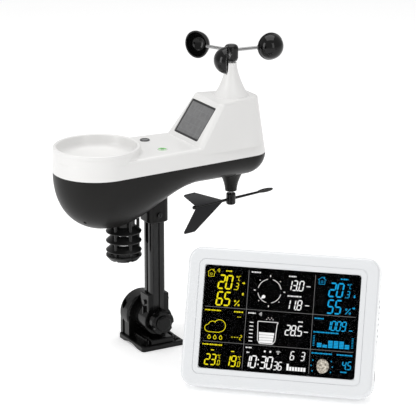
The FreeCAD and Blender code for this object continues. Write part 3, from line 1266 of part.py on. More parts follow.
def make_console_shells():
    split, depth, wall = dim("console_split"), dim("console_depth"), dim("console_wall")
    outer, inner = console_form(0), console_form(wall)
    width, height = dim("glass_width"), dim("glass_height")
    window = rounded_slab(width + 0.4, height + 0.4, 3.0, -1, dim("glass_thickness") + 0.3)
    window.translate(Vector(0, 0, dim("glass_bottom") - 0.2))
    sight = rounded_slab(width - 6, height - 6, 2.0, -1, split)
    sight.translate(Vector(0, 0, dim("glass_bottom") + 3))
    groove_out = rounded_slab(width + 17, height + 17, 10.0, -1, 0.8)
    groove_in = rounded_slab(width + 15.4, height + 15.4, 9.2, -2, 2)
    groove = groove_out.translated(Vector(0, 0, dim("glass_bottom") - 8.5)).cut(
        groove_in.translated(Vector(0, 0, dim("glass_bottom") - 7.7)))
    front = console_cut(outer, -1, split).cut([console_cut(inner, -1, split), window, sight, groove])
    right = dim("console_width") / 2
    jack_place = Vector(right - 4, depth - 9, 34)
    jack_hole = rounded_port(15, 6.6, 8).translated(jack_place)
    console_piece("console_front", front)
    back = console_cut(outer, split, depth + 1).cut(console_cut(inner, split, depth + 1))
    cutters = [jack_hole]
    for number in range(8):
        slot = Part.makeBox(12, 8, 3.2, Vector(right - 9, depth - 13.5, 82 + 8.4 * number))
        cutters.append(slot.makeFillet(1.5, [edge for edge in slot.Edges if near(edge.Length, 12)]))
    for number in range(9):
        slot = Part.makeBox(44, 8, 2.6, Vector(-22, depth - 5, 128 + 5.6 * number))
        cutters.append(slot.makeFillet(1.2, [edge for edge in slot.Edges if near(edge.Length, 8)]))
    for place_x, place_z in back_button_places():
        cutters.append(Part.makeCylinder(dim("button_radius") + dim("button_play"), 12,
                                         Vector(place_x, depth - 6, place_z), Y_AXIS))
    for place_x, place_z in console_screw_places():
        cutters.append(Part.makeCylinder(2.7, 3, Vector(place_x, depth - 1.7, place_z), Y_AXIS))
    for side in (-1, 1):
        head = Part.makeCylinder(4.2, 6, Vector(side * 75, depth - 4, 150), Y_AXIS)
        neck = Part.makeBox(4.2, 6, 12, Vector(side * 75 - 2.1, depth - 4, 150))
        cutters.append(head.fuse(neck))
    bay_x, bay_z = battery_bay_size()
    bay = Part.makeBox(bay_x + 2 * dim("door_gap"), 20, bay_z + 2 * dim("door_gap"),
                       Vector(82 - bay_x / 2 - dim("door_gap"), depth - 10, 46 - dim("door_gap")))
    leg_bay = Part.makeBox(dim("leg_width") + 1.2, 6, dim("leg_pivot") + 6.6,
                           Vector(-dim("leg_width") / 2 - 0.6, depth - dim("leg_thickness") - 0.8, -1))
    bay_floor = Part.makeBox(dim("leg_width") + 6, 2.4, dim("leg_pivot") + 8,
                             Vector(-dim("leg_width") / 2 - 3, depth - dim("leg_thickness") - 3.2, wall))
    back = back.cut(cutters + [bay]).fuse(bay_floor.common(console_form(0))).cut(leg_bay)
    pin_radius = dim("leg_pin") / 2
    pin_at = Vector(-dim("leg_width") / 2 - 5, depth - dim("leg_thickness") / 2, dim("leg_pivot"))
    for side in (-1, 1):
        knuckle = Part.makeBox(4.4, 7, 9, Vector(side * (dim("leg_width") / 2 + 2.9) - 2.2,
                                                 depth - dim("leg_thickness") - 3, dim("leg_pivot") - 4.5))
        back = back.fuse(knuckle.common(console_form(0)))
    back = back.cut(Part.makeCylinder(pin_radius, dim("leg_width") + 10, pin_at, X_AXIS))
    console_piece("console_back", back.removeSplitter())
    console_piece("stand_pin", Part.makeCylinder(pin_radius, dim("leg_width") + 9, pin_at + X_AXIS * 0.5, X_AXIS))
    port = rounded_port(14.6, 6.2, 7).cut(Part.makeCylinder(2.4, 9, Vector(2.5, 0, 0), X_AXIS))
    pin = Part.makeCylinder(0.8, 6, Vector(-0.5, 0, 0), X_AXIS)
    console_piece("power_jack", port.fuse(pin).translated(jack_place + X_AXIS * -4.0))


def rounded_port(length, height, depth):
    """An oval block along X: length runs up the console's side, height along its depth."""
    radius = height / 2
    straight = length / 2 - radius
    block_part = Part.makeBox(depth, height, 2 * straight, Vector(0, -radius, -straight))
    ends = [Part.makeCylinder(radius, depth, Vector(0, 0, side * straight), X_AXIS) for side in (-1, 1)]
    return block_part.fuse(ends).removeSplitter()


def make_console_insides():
    split, depth = dim("console_split"), dim("console_depth")
    width, height, low = dim("glass_width"), dim("glass_height"), dim("glass_bottom")
    glass = rounded_slab(width, height, 2.8, 0.15, 0.15 + dim("glass_thickness"))
    console_piece("display_glass", glass.translated(Vector(0, 0, low)))
    panel = Part.makeBox(width - 8, 5.4, height - 8, Vector(4 - width / 2, dim("glass_thickness") + 0.8, low + 4))
    console_piece("display_panel", panel)
    board = Part.makeBox(150, 1.6, 110, Vector(-112, split + 2, 40))
    for place_x, place_z, wide, high, deep in ((-60, 80, 24, 24, 3), (-20, 110, 16, 12, 4), (0, 60, 10, 14, 4)):
        board = board.fuse(Part.makeBox(wide, deep, high, Vector(place_x, split + 3.5, place_z)))
    sounder = Part.makeCylinder(9, 4, Vector(-60, split + 3.5, 130), Y_AXIS)
    console_piece("console_board", board.fuse(sounder))
    bay_x, bay_z = battery_bay_size()
    door = Part.makeBox(bay_x, 2.2, bay_z, Vector(82 - bay_x / 2, depth - 2.2, 46))
    ribs = [Part.makeBox(22, 0.9, 1.4, Vector(71, depth - 0.05, 82 + 3.2 * number)) for number in range(4)]
    rim_cut = console_form(0)
    console_piece("console_battery_door", door.common(rim_cut).fuse(ribs))
    cells = []
    for number in range(3):
        level = 46 + bay_z / 2 + (number - 1) * dim("cell_pitch")
        start = Vector(82 - dim("cell_length") / 2, split + 4.4, level)
        can = Part.makeCylinder(dim("cell_diameter") / 2 - 2.0, dim("cell_length") - 1.5, start + Y_AXIS * 1.5, X_AXIS)
        tip = Part.makeCylinder(2.2, 2, start + X_AXIS * (dim("cell_length") - 2) + Y_AXIS * 1.5, X_AXIS)
        cells.append(can.fuse(tip))
    console_piece("console_cells", Part.makeCompound(cells))
    for number, (place_x, place_z) in enumerate(back_button_places(), start=1):
        button = Part.makeCylinder(dim("button_radius"), 7.2, Vector(place_x, depth - 5.4, place_z), Y_AXIS)
        button = button.makeFillet(0.7, [edge for edge in button.Edges if near(edge.BoundBox.YMin, depth + 1.8)])
        console_piece("back_button_%d" % number, button)
    screws = [Part.makeCylinder(2.6, 1.4, Vector(place_x, depth - 1.6, place_z), Y_AXIS)
              for place_x, place_z in console_screw_places()]
    console_piece("console_screws", Part.makeCompound(screws))


def make_console_stand():
    width, thick, pivot = dim("leg_width"), dim("leg_thickness"), dim("leg_pivot")
    depth = dim("console_depth")
    lean, opened = math.radians(dim("lean")), math.radians(dim("leg_open"))
    lift = console_placement()[1]
    axis_y = depth - thick / 2
    drop = lift + pivot * math.cos(lean) - axis_y * math.sin(lean)
    tip_round = 1.2
    swing = opened - lean
    length = tip_round + (drop - (thick / 2 - tip_round) * math.sin(swing) - tip_round) / math.cos(swing)
    leg = Part.makeBox(width, thick, length, Vector(-width / 2, -thick / 2, -length))
    window = Part.makeBox(width - 24, thick + 2, length - 34, Vector(12 - width / 2, -thick / 2 - 1, 14 - length))
    leg = leg.cut(window)
    leg = leg.makeFillet(tip_round, [edge for edge in leg.Edges if near(edge.BoundBox.ZMax, -length)
                               and near(edge.Length, width)])
    barrel = Part.makeCylinder(thick / 2, width, Vector(-width / 2, 0, 0), X_AXIS)
    bore = Part.makeCylinder(dim("leg_pin") / 2 + dim("shaft_play"), width + 2, Vector(-width / 2 - 1, 0, 0), X_AXIS)
    leg = leg.fuse(barrel).cut(bore)
    leg.rotate(Vector(0, 0, 0), X_AXIS, dim("leg_open"))
    console_piece("console_stand", leg.translated(Vector(0, axis_y, pivot)))


# ---------------------------------------------------------------- build and write

def report_problems():
    bad = [thing.Name for thing in doc.Objects if "Invalid" in thing.State or "Error" in thing.State]
    for thing in nodes:
        if thing.Shape.isNull() or not thing.Shape.isValid() or not thing.Shape.Solids:
            bad.append(thing.Label)
    if bad:
        raise RuntimeError("failed objects: " + ", ".join(bad))


MAKERS = [make_base_bracket, make_pivot, make_pole, make_pole_knuckle, make_pole_screws,
          make_lower_shell, make_shell_screws, make_shell_seal, make_upper_cover, make_rain_funnel,
          make_debris_filter, make_bucket, make_cradle, make_reed_switch, make_main_board, make_battery_bay,
          make_reset_button, make_solar_panel, make_deck_spots, make_rotor, make_vane,
          make_shield, make_console_shells, make_console_insides, make_console_stand]

for maker in MAKERS:
    maker()
doc.recompute()
report_problems()
os.makedirs("parts", exist_ok=True)
for thing in nodes:
    thing.Shape.exportStep("parts/%s.step" % thing.Label)
print(len(nodes), "sub-parts written")
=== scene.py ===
# %% [markdown]
# ## A home weather station, dressed
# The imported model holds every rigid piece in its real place: a sensor head on a square pole
# and a console with a colour display. What is left is the look: moulded plastics, a solar
# cell, a lit display. We load the model, hang a few fine pieces on it and paint everything.

# %% Load the model
import json
import math

import bmesh
import bpy
from mathutils import Matrix, Vector


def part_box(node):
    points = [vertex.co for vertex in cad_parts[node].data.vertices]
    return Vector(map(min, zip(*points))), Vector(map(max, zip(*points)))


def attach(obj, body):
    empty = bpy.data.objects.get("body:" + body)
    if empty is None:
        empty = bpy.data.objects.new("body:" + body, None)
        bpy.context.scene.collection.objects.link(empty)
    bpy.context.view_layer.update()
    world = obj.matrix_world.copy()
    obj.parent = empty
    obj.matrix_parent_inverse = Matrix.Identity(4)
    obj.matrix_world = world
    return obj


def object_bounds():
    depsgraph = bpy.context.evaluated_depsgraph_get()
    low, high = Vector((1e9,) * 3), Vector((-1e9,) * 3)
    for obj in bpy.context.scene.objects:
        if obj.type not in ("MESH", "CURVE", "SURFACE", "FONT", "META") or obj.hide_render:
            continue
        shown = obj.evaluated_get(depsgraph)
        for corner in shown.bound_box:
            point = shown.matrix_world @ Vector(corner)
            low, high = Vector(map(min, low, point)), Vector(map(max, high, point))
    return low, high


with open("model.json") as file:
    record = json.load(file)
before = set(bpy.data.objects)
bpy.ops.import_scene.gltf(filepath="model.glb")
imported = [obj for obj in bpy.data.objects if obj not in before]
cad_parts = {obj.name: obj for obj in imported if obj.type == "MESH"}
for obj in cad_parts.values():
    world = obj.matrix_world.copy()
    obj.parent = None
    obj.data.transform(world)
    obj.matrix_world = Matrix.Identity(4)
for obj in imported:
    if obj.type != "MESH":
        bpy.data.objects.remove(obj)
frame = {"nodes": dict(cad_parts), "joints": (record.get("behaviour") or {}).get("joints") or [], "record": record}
cad_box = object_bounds()
nodes = frame["nodes"]
MM = 0.001

# %% [markdown]
# The picture is taken like a catalogue shot: a long lens from a few metres away, looking
# slightly down. A long lens keeps the two objects in nearly parallel perspective.
# The camera is placed by its azimuth and distance, then aimed at a point between them.

# %% Camera
AZIMUTH = math.radians(27.84)
DISTANCE = 3.3
HEIGHT = 1.246
LENS = 197.3
right = Vector((math.cos(AZIMUTH), -math.sin(AZIMUTH), 0))
away = Vector((math.sin(AZIMUTH), math.cos(AZIMUTH), 0))
aim = Vector((0, 0, 0.2136)) + right * 0.0875

camera_data = bpy.data.cameras.new("catalogue_camera")
camera_data.lens = LENS
camera_data.clip_end = 60
camera = bpy.data.objects.new("catalogue_camera", camera_data)
camera.location = Vector((0, 0, HEIGHT)) - away * DISTANCE
camera.rotation_euler = (aim - camera.location).to_track_quat("-Z", "Y").to_euler()
bpy.context.scene.collection.objects.link(camera)
bpy.context.scene.camera = camera
print("camera at", [round(c, 3) for c in camera.location])

# %% [markdown]
# Shader maths reads best as ordinary arithmetic. `Wire` wraps a socket so that `1 - mask`
# adds a Math node, and `Finish` holds one material with a single method, `add`, that makes
# any other node: its settings go in first, then the values or wires of its sockets.

# %% Shader maths
class Wire:
    """A socket that takes part in Python arithmetic."""

    def __init__(self, socket):
        self.socket = socket

    def math(self, operation, first, second=0.0):
        tree = self.socket.id_data
        node = tree.nodes.new("ShaderNodeMath")
        node.operation = operation
        for slot_socket, value in zip(node.inputs, (first, second)):
            if isinstance(value, Wire):
                tree.links.new(value.socket, slot_socket)
            else:
                slot_socket.default_value = value
        return Wire(node.outputs[0])

    def __add__(self, other):
        return self.math("ADD", self, other)

    def __sub__(self, other):
        return self.math("SUBTRACT", self, other)

    def __rsub__(self, other):
        return self.math("SUBTRACT", other, self)

    def __mul__(self, other):
        return self.math("MULTIPLY", self, other)

    def __gt__(self, other):
        return self.math("GREATER_THAN", self, other)

    def __lt__(self, other):
        return self.math("LESS_THAN", self, other)

    def __mod__(self, other):
        return self.math("FLOORED_MODULO", self, other)

    __radd__ = __add__
    __rmul__ = __mul__

    def sharpened(self, power):
        return self.math("POWER", self, power)

    def largest(self, other):
        return self.math("MAXIMUM", self, other)


class Finish:
    """One material and the nodes that make it."""

    def __init__(self, name):
        self.material = bpy.data.materials.new(name)
        self.material.use_nodes = True
        self.tree = self.material.node_tree
        self.tree.nodes.clear()
        self.place = self.add("TexCoord", outlet="Object")

    def add(self, kind, settings=None, values=None, outlet=0):
        node = self.tree.nodes.new("ShaderNode" + kind)
        for key, value in (settings or {}).items():
            if key == "stops":
                for number, (position, colour) in enumerate(value):
                    spare = number >= len(node.color_ramp.elements)
                    stop = node.color_ramp.elements.new(position) if spare else node.color_ramp.elements[number]
                    stop.position = position
                    stop.color = colour
            else:
                setattr(node, key, value)
        for key, value in (values or {}).items():
            if isinstance(value, Wire):
                self.tree.links.new(value.socket, node.inputs[key])
            else:
                node.inputs[key].default_value = value
        return Wire(node.outputs[outlet])

    def noise(self, scale, detail=3.0, rough=0.5):
        return self.add("TexNoise", None, {"Vector": self.place, "Scale": scale, "Detail": detail,
                                           "Roughness": rough})

    def along(self, direction):
        """The distance along a direction, in metres."""
        return self.add("VectorMath", {"operation": "DOT_PRODUCT"}, {0: self.place, 1: direction}, "Value")

    def tint(self, factor, first, second):
        return self.add("Mix", {"data_type": "RGBA"}, {0: factor, 6: first, 7: second}, 2)

    def bump(self, height, strength, distance=0.0002):
        return self.add("Bump", None, {"Height": height, "Strength": strength, "Distance": distance})

    def surface(self, **values):
        named = {key.replace("_", " "): value for key, value in values.items()}
        shader = self.add("BsdfPrincipled", None, named)
        self.add_output(shader)
        return self.material

    def add_output(self, shader):
        output = self.tree.nodes.new("ShaderNodeOutputMaterial")
        self.tree.links.new(shader.socket, output.inputs["Surface"])


def grey(level, warm=0.0):
    return (level * (1 + warm), level, level * (1 - warm), 1.0)


print("shader helpers ready")

# %% [markdown]
# Most of the station is injection-moulded ABS. Three things make it look moulded and not
# computed: the colour drifts a little where the wall is thicker, the tool's spark-eroded
# grain breaks up the highlight, and handling leaves slightly polished and dusty patches.

# %% Moulded plastics
def moulded(name, colour, roughness, grain, grain_size=0.0006, drift=0.05, dust=0.0, coat=0.0, gloss=0.5):
    finish = Finish(name)
    slow = finish.noise(14.0, 4.0)
    fine = finish.noise(1.0 / grain_size, 2.0, 0.6)
    mottled = tuple(channel * (1 - drift) for channel in colour[:3]) + (1.0,)
    base = finish.tint(slow, mottled, colour)
    if dust > 0:
        facing_up = finish.add("SeparateXYZ", None, {0: finish.add("NewGeometry", outlet="Normal")}, 2)
        settled = (facing_up > 0.3) * slow * dust
        base = finish.tint(settled, base, grey(0.42, 0.06))
    handled = finish.noise(55.0, 5.0, 0.62)
    rough = roughness * 0.86 + handled * (roughness * 0.3)
    wavy = finish.noise(260.0, 1.0)
    normal = finish.bump(fine * 0.7 + wavy * 0.3, grain)
    return finish.surface(Base_Color=base, Roughness=rough, Normal=normal, Coat_Weight=coat,
                          Coat_Roughness=0.06, Specular_IOR_Level=gloss)


def brushed_metal(name, level, roughness):
    finish = Finish(name)
    turned = finish.noise(900.0, 2.0)
    worn = finish.noise(120.0, 4.0)
    base = finish.tint(worn, grey(level * 0.82), grey(level))
    return finish.surface(Base_Color=base, Metallic=1.0, Roughness=roughness + turned * 0.12,
                          Normal=finish.bump(turned, 0.12, 0.0001))


finishes = {
    "cover_white": moulded("sensor_cover_white", (0.74, 0.735, 0.725, 1), 0.32, 0.05, drift=0.025, coat=0.1),
    "console_white": moulded("console_case_white", (0.70, 0.712, 0.725, 1), 0.24, 0.04, drift=0.02, coat=0.3),
    "shell_black": moulded("lower_shell_black", (0.006, 0.0056, 0.0052, 1), 0.38, 0.18, 0.0007, 0.15, gloss=0.19),
    "gloss_black": moulded("foot_gloss_black", (0.003, 0.003, 0.003, 1), 0.18, 0.05, 0.0009, 0.1, gloss=0.22),
    "satin_black": moulded("pole_satin_black", (0.005, 0.005, 0.005, 1), 0.22, 0.05, 0.0008, 0.2, gloss=0.40),
    "rotor_black": moulded("wind_sensor_black", (0.003, 0.003, 0.003, 1), 0.10, 0.02, 0.0010, 0.1, gloss=0.27),
    "shield_black": moulded("louvre_black", (0.006, 0.006, 0.006, 1), 0.34, 0.10, 0.0006, 0.2, gloss=0.3),
    "fin_grey": moulded("tail_fin_grey", (0.022, 0.022, 0.024, 1), 0.50, 0.22, 0.0005, 0.1, gloss=0.25),
    "panel_frame": moulded("panel_frame_black", (0.030, 0.030, 0.031, 1), 0.34, 0.08, gloss=0.3),
    "inner_plastic": moulded("inner_plastic_grey", (0.20, 0.20, 0.21, 1), 0.45, 0.15),
    "button_grey": moulded("button_soft_grey", (0.36, 0.37, 0.39, 1), 0.50, 0.12),
    "seal_rubber": moulded("seal_rubber_black", (0.02, 0.02, 0.02, 1), 0.75, 0.2),
    "jack_black": moulded("jack_body_black", (0.015, 0.015, 0.016, 1), 0.35, 0.08),
    "sensor_lens": moulded("light_sensor_lens", (0.10, 0.102, 0.105, 1), 0.20, 0.05, coat=0.6),
    "display_black": moulded("display_panel_black", (0.0009, 0.0009, 0.0012, 1), 0.50, 0.0, gloss=0.02),
    "cell_wrap": moulded("cell_sleeve", (0.05, 0.16, 0.10, 1), 0.3, 0.05),
    "steel": brushed_metal("plated_steel", 0.62, 0.24),
    "arm_steel": brushed_metal("polished_arm_steel", 0.30, 0.14),
    "magnet": brushed_metal("magnet_plating", 0.45, 0.3),
}
print("plastics and metals:", len(finishes))

# %% [markdown]
# The solar cell is a dark, faintly blue-grey wafer under clear resin. Thin silver fingers
# run up the slope and two wider bus bars cross them. Distances along the slope come from a
# dot product, so the grid keeps its real pitch on the tilted face.

# %% Solar cell, circuit board, vial and glass
def solar_cell():
    finish = Finish("solar_cell_resin")
    steep = math.radians(55)
    up_slope = finish.along((math.cos(steep), 0, math.sin(steep)))
    across = finish.along((0, 1, 0))
    finger = (across % 0.0022) < 0.00022
    strip = (up_slope % 0.0117) < 0.0009
    bus = (across % 0.0165) < 0.0010
    crystal = finish.add("TexVoronoi", None, {"Vector": finish.place, "Scale": 190.0}, "Color")
    flake = finish.add("SeparateXYZ", None, {0: crystal}, 0)
    wafer = finish.tint(flake, (0.112, 0.112, 0.114, 1), (0.138, 0.138, 0.139, 1))
    silver = (finger * 0.08).largest(bus * 0.2).largest(strip * 0.16)
    base = finish.tint(silver, wafer, (0.26, 0.27, 0.29, 1))
    return finish.surface(Base_Color=base, Roughness=0.30 - silver * 0.1, Coat_Weight=0.8,
                          Coat_Roughness=0.05, Normal=finish.bump(silver, 0.15, 0.0001))


def circuit_board():
    finish = Finish("board_solder_mask")
    tracks = finish.add("TexBrick", None, {"Vector": finish.place, "Scale": 120.0,
                                           "Color1": (0.012, 0.11, 0.045, 1), "Color2": (0.01, 0.085, 0.035, 1),
                                           "Mortar": (0.05, 0.22, 0.09, 1), "Mortar Size": 0.03}, "Color")
    return finish.surface(Base_Color=tracks, Roughness=0.32 + finish.noise(300.0) * 0.1)


def vial_green():
    finish = Finish("level_vial_green")
    clouds = finish.noise(400.0, 2.0)
    base = finish.tint(clouds, (0.12, 0.55, 0.10, 1), (0.22, 0.72, 0.16, 1))
    return finish.surface(Base_Color=base, Roughness=0.10 + clouds * 0.05, Coat_Weight=1.0,
                          Coat_Roughness=0.03)


def clear_glass():
    finish = Finish("display_cover_glass")
    smear = finish.noise(38.0, 5.0, 0.6)
    return finish.surface(Base_Color=grey(0.97), Roughness=0.01 + smear * 0.02, Transmission_Weight=1.0, IOR=1.07)


def lit_ink(name, colour, strength):
    """A lit segment of the display: the colour glows, with a faint unevenness of its backlight."""
    finish = Finish(name)
    uneven = finish.noise(60.0, 2.0)
    dim_colour = tuple(channel * 0.9 for channel in colour[:3]) + (1.0,)
    glow = finish.tint(uneven, dim_colour, colour)
    return finish.surface(Base_Color=grey(0.002), Roughness=0.6, Specular_IOR_Level=0.05, Emission_Color=glow,
                          Emission_Strength=strength)


finishes["solar_cell"] = solar_cell()
finishes["circuit_board"] = circuit_board()
finishes["vial_green"] = vial_green()
finishes["display_glass"] = clear_glass()
slot_of = {entry["node"]: entry["material_slot"] for entry in frame["record"]["subparts"]}
for name, thing in nodes.items():
    thing.data.materials.clear()
    thing.data.materials.append(finishes[slot_of[name]])
print("painted nodes:", len(slot_of))

# %% [markdown]
# The console leans back and is turned, so anything on its face needs the face's own axes.
# Two joints carry them: the stand's hinge lies along the console, and the battery door
# comes off straight backwards. The glass's own corners then give its origin and size.

# %% The face's axes
joints = {joint["name"]: joint for joint in frame["joints"]}
face_right = Vector(joints["stand_fold"]["axis"]).normalized()
face_back = Vector(joints["console_door_off"]["axis"]).normalized()
face_up = face_right.cross(face_back).normalized()


def reach(node, direction):
    """Lowest and highest distance of a node's points along a direction."""
    distances = [vertex.co.dot(direction) for vertex in nodes[node].data.vertices]
    return min(distances), max(distances)


glass_left, glass_right = reach("display_glass", face_right)
glass_low, glass_high = reach("display_glass", face_up)
panel_face = reach("display_panel", face_back)[0]
glass_back = reach("display_glass", face_back)[1]
GLASS_WIDTH = (glass_right - glass_left) / MM
GLASS_HEIGHT = (glass_high - glass_low) / MM


def on_face(across, down, depth):
    """A point from millimetres across and down the glass, at a depth along the face's back axis."""
    return (face_right * (glass_left + across * MM) + face_up * (glass_high - down * MM) + face_back * depth)


print("glass: %.1f x %.1f mm" % (GLASS_WIDTH, GLASS_HEIGHT))

# %% [markdown]
# A display of this kind has fixed segments: each lit shape is a window in a mask. We draw
# them as flat closed tiles just in front of the panel. `Ink` gathers outlines in millimetres
# and turns them into one mesh for each colour. Digits are seven slanted bars.

# %% Drawing helpers
INK_THICKNESS = 0.00012
SEGMENTS = {"0": "abcdef", "1": "bc", "2": "abged", "3": "abgcd", "4": "fgbc", "5": "afgcd",
            "6": "afgedc", "7": "abc", "8": "abcdefg", "9": "abcdfg", "C": "afed"}


class Ink:
    """Flat lit shapes of one colour, in millimetres across and down the glass."""

    def __init__(self):
        self.outlines = []

    def shape(self, points):
        self.outlines.append(list(points))

    def bar(self, start, finish, width):
        """A straight stroke with pointed ends."""
        start, finish = Vector(start), Vector(finish)
        way = (finish - start).normalized() * (width / 2)
        side = Vector((-way.y, way.x))
        self.shape([start, start + way + side, finish - way + side, finish,
                    finish - way - side, start + way - side])

    def block(self, left, top, width, height):
        self.shape([Vector((left, top)), Vector((left + width, top)),
                    Vector((left + width, top + height)), Vector((left, top + height))])

    def disc(self, centre, radius, sides=20):
        turn = 2 * math.pi / sides
        self.shape([Vector(centre) + Vector((math.cos(turn * k), math.sin(turn * k))) * radius
                    for k in range(sides)])

    def arc(self, centre, radius, width, start, finish, pieces=10):
        """A curved stroke between two angles in degrees, as short straight tiles."""
        step = math.radians(finish - start) / pieces
        for k in range(pieces):
            corners = []
            for edge_radius, angle in ((radius, k), (radius, k + 1), (radius - width, k + 1), (radius - width, k)):
                turn = math.radians(start) + step * angle
                corners.append(Vector(centre) + Vector((math.cos(turn), math.sin(turn))) * edge_radius)
            self.shape(corners)

    def digit(self, figure, left, top, height):
        width, stroke, slant = height * 0.42, height * 0.115, 0.13
        gap = stroke * 0.16

        def at(x, y):
            return Vector((left + x * width + (1 - y) * height * slant, top + y * height))

        corner = {"a": ((0, 0), (1, 0)), "b": ((1, 0), (1, 0.5)), "c": ((1, 0.5), (1, 1)), "d": ((0, 1), (1, 1)),
                  "e": ((0, 0.5), (0, 1)), "f": ((0, 0), (0, 0.5)), "g": ((0, 0.5), (1, 0.5))}
        for letter in SEGMENTS[figure]:
            start, finish = at(*corner[letter][0]), at(*corner[letter][1])
            way = (finish - start).normalized() * gap
            self.bar(start + way, finish - way, stroke)

    def number(self, text, left, top, height):
        """Digits with points and colons; returns where the next figure would start."""
        for sign in text:
            if sign == ".":
                self.disc((left - height * 0.02, top + height), height * 0.07)
                left += height * 0.1
            elif sign == ":":
                for share in (0.3, 0.7):
                    self.disc((left + height * 0.12, top + height * share), height * 0.065)
                left += height * 0.26
            elif sign == " ":
                left += height * 0.5
            else:
                self.digit(sign, left, top, height)
                left += height * 0.58
        return left

    def line(self, points, width, closed=False):
        ends = points + [points[0]] if closed else points
        for start, finish in zip(ends, ends[1:]):
            self.bar(start, finish, width)


def tiles(name, ink, depth, material):
    """Turn an Ink's outlines into thin closed tiles that ride on the console."""
    mesh = bpy.data.meshes.new(name)
    shape = bmesh.new()
    for outline in ink.outlines:
        front = [shape.verts.new(on_face(point.x, point.y, depth)) for point in outline]
        back = [shape.verts.new(on_face(point.x, point.y, depth + INK_THICKNESS)) for point in outline]
        shape.faces.new(front)
        shape.faces.new(list(reversed(back)))
        for k in range(len(front)):
            following = (k + 1) % len(front)
            shape.faces.new([front[following], front[k], back[k], back[following]])
    bmesh.ops.recalc_face_normals(shape, faces=shape.faces)
    shape.to_mesh(mesh)
    shape.free()
    mesh.materials.append(material)
    thing = bpy.data.objects.new(name, mesh)
    bpy.context.scene.collection.objects.link(thing)
    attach(thing, "console")
    print(name, "tiles:", len(ink.outlines))
    return thing


print("digits that can be shown:", "".join(sorted(SEGMENTS)))

# %% [markdown]
# The screen is split into nine fields by thin lines. The left column is the outdoor climate
# in yellow, the middle is wind, rain and time in white, the right is indoor climate, air
# pressure and the moon in blue. Captions are plain short bars: the figures say enough.

# %% Screen fields
yellow, white, blue, lines = Ink(), Ink(), Ink(), Ink()
COLUMNS = (GLASS_WIDTH * 0.284, GLASS_WIDTH * 0.709)
ROWS = (GLASS_HEIGHT * 0.404, GLASS_HEIGHT * 0.738)
EDGE = 3.0
for column in COLUMNS:
    lines.block(column - 0.25, EDGE, 0.5, GLASS_HEIGHT - 2 * EDGE)
for row in ROWS:
    lines.block(EDGE, row - 0.25, GLASS_WIDTH - 2 * EDGE, 0.5)


def house(ink, left, top, size, stroke=0.6):
    """A house outline with a chimney and a dot inside."""
    eaves, middle = top + size * 0.45, left + size / 2
    ink.line([Vector((left - size * 0.1, eaves)), Vector((middle, top)),
              Vector((left + size * 1.1, eaves))], stroke)
    ink.line([Vector((left + size * 0.1, eaves)), Vector((left + size * 0.1, top + size)),
              Vector((left + size * 0.9, top + size)), Vector((left + size * 0.9, eaves))], stroke)
    ink.block(left + size * 0.74, top - size * 0.02, size * 0.1, size * 0.24)
    ink.arc((middle, top + size * 0.66), size * 0.17, stroke * 0.8, 0, 360)


def arrow(ink, left, top, size, turn):
    """A small trend arrow."""
    spin = Matrix.Rotation(math.radians(turn), 2)
    points = [(-1, -0.35), (0.1, -0.35), (0.1, -1), (1.2, 0), (0.1, 1), (0.1, 0.35), (-1, 0.35)]
    ink.shape([Vector((left, top)) + spin @ Vector(point) * size for point in points])


def percent(ink, left, top, size):
    ink.bar((left, top + size), (left + size * 0.8, top), size * 0.12)
    ink.arc((left + size * 0.1, top + size * 0.2), size * 0.17, size * 0.1, 0, 360)
    ink.arc((left + size * 0.72, top + size * 0.8), size * 0.17, size * 0.1, 0, 360)


def degrees(ink, left, top, size):
    """A degree ring and the C of its scale."""
    ink.arc((left + size * 0.15, top + size * 0.15), size * 0.2, size * 0.1, 0, 360, 8)
    ink.digit("C", left + size * 0.45, top, size)


def climate(ink, left, humidity, trends):
    """Temperature with tenths, humidity with its sign, and the trend of each."""
    house(ink, left + 2.7, 6.6, 10.5)
    ink.number("20", left + 18.7, 14.4, 19.2)
    ink.number(".3", left + 43.5, 24.6, 9.3)
    degrees(ink, left + 45.5, 14.2, 6.4)
    ink.number(humidity, left + 17.6, 38.8, 19)
    percent(ink, left + 45, 49, 8.8)
    for level, turn in trends:
        arrow(ink, left + 56.5, level, 2.0, turn)


def waves(ink, left, top, radii=(1.6, 3.2, 4.8)):
    """A sender's waves, opening to the right."""
    for radius in radii:
        ink.arc((left, top), radius, 0.55, -42, 42, 6)


climate(yellow, 2.0, "65", ((23.8, 0), (40.0, -90)))
climate(blue, COLUMNS[1] + 2.0, "55", ((31.4, 90), (48.4, 0)))
waves(yellow, 17.5, 7.8)
waves(white, COLUMNS[0] + 18.5, 66.6)
print("climate fields drawn")

# %% Forecast and daily range
def cloud(ink, left, top, width):
    """A cloud outline: three arcs over a flat base."""
    stroke = width * 0.026
    base = top + width * 0.52
    ink.arc((left + width * 0.2, base - width * 0.17), width * 0.17, stroke, 90, 262, 14)
    ink.arc((left + width * 0.38, base - width * 0.3), width * 0.19, stroke, 190, 318, 12)
    ink.arc((left + width * 0.70, base - width * 0.29), width * 0.28, stroke, 215, 450, 22)
    ink.bar((left + width * 0.19, base), (left + width * 0.72, base), stroke)


def drop(ink, left, top, size):
    """A raindrop outline."""
    ink.arc((left, top + size * 0.62), size * 0.36, size * 0.13, -20, 200, 10)
    ink.bar((left - size * 0.32, top + size * 0.54), (left, top), size * 0.13)
    ink.bar((left + size * 0.32, top + size * 0.54), (left, top), size * 0.13)


cloud(yellow, 4.4, 80.5, 33)
for number in range(3):
    drop(yellow, 13.2 + 8.6 * number, 101.4, 6.8)
yellow.number("2", 58, 99.6, 6.4)
for left, top in ((46, 102.5), (50, 102.5), (54, 102.5), (52.6, 72.8), (56, 72.8)):
    yellow.block(left, top, 2.2, 0.9)
for left, text in ((9.0, "23"), (39.0, "19")):
    yellow.number(text, left, 130, 15)
    yellow.number(".0", left + 18.3, 137.8, 7)
    degrees(yellow, left + 19, 130, 5)
    yellow.block(left + 8.5, 123, 4.5, 1.3)
print("forecast drawn, yellow tiles:", len(yellow.outlines))

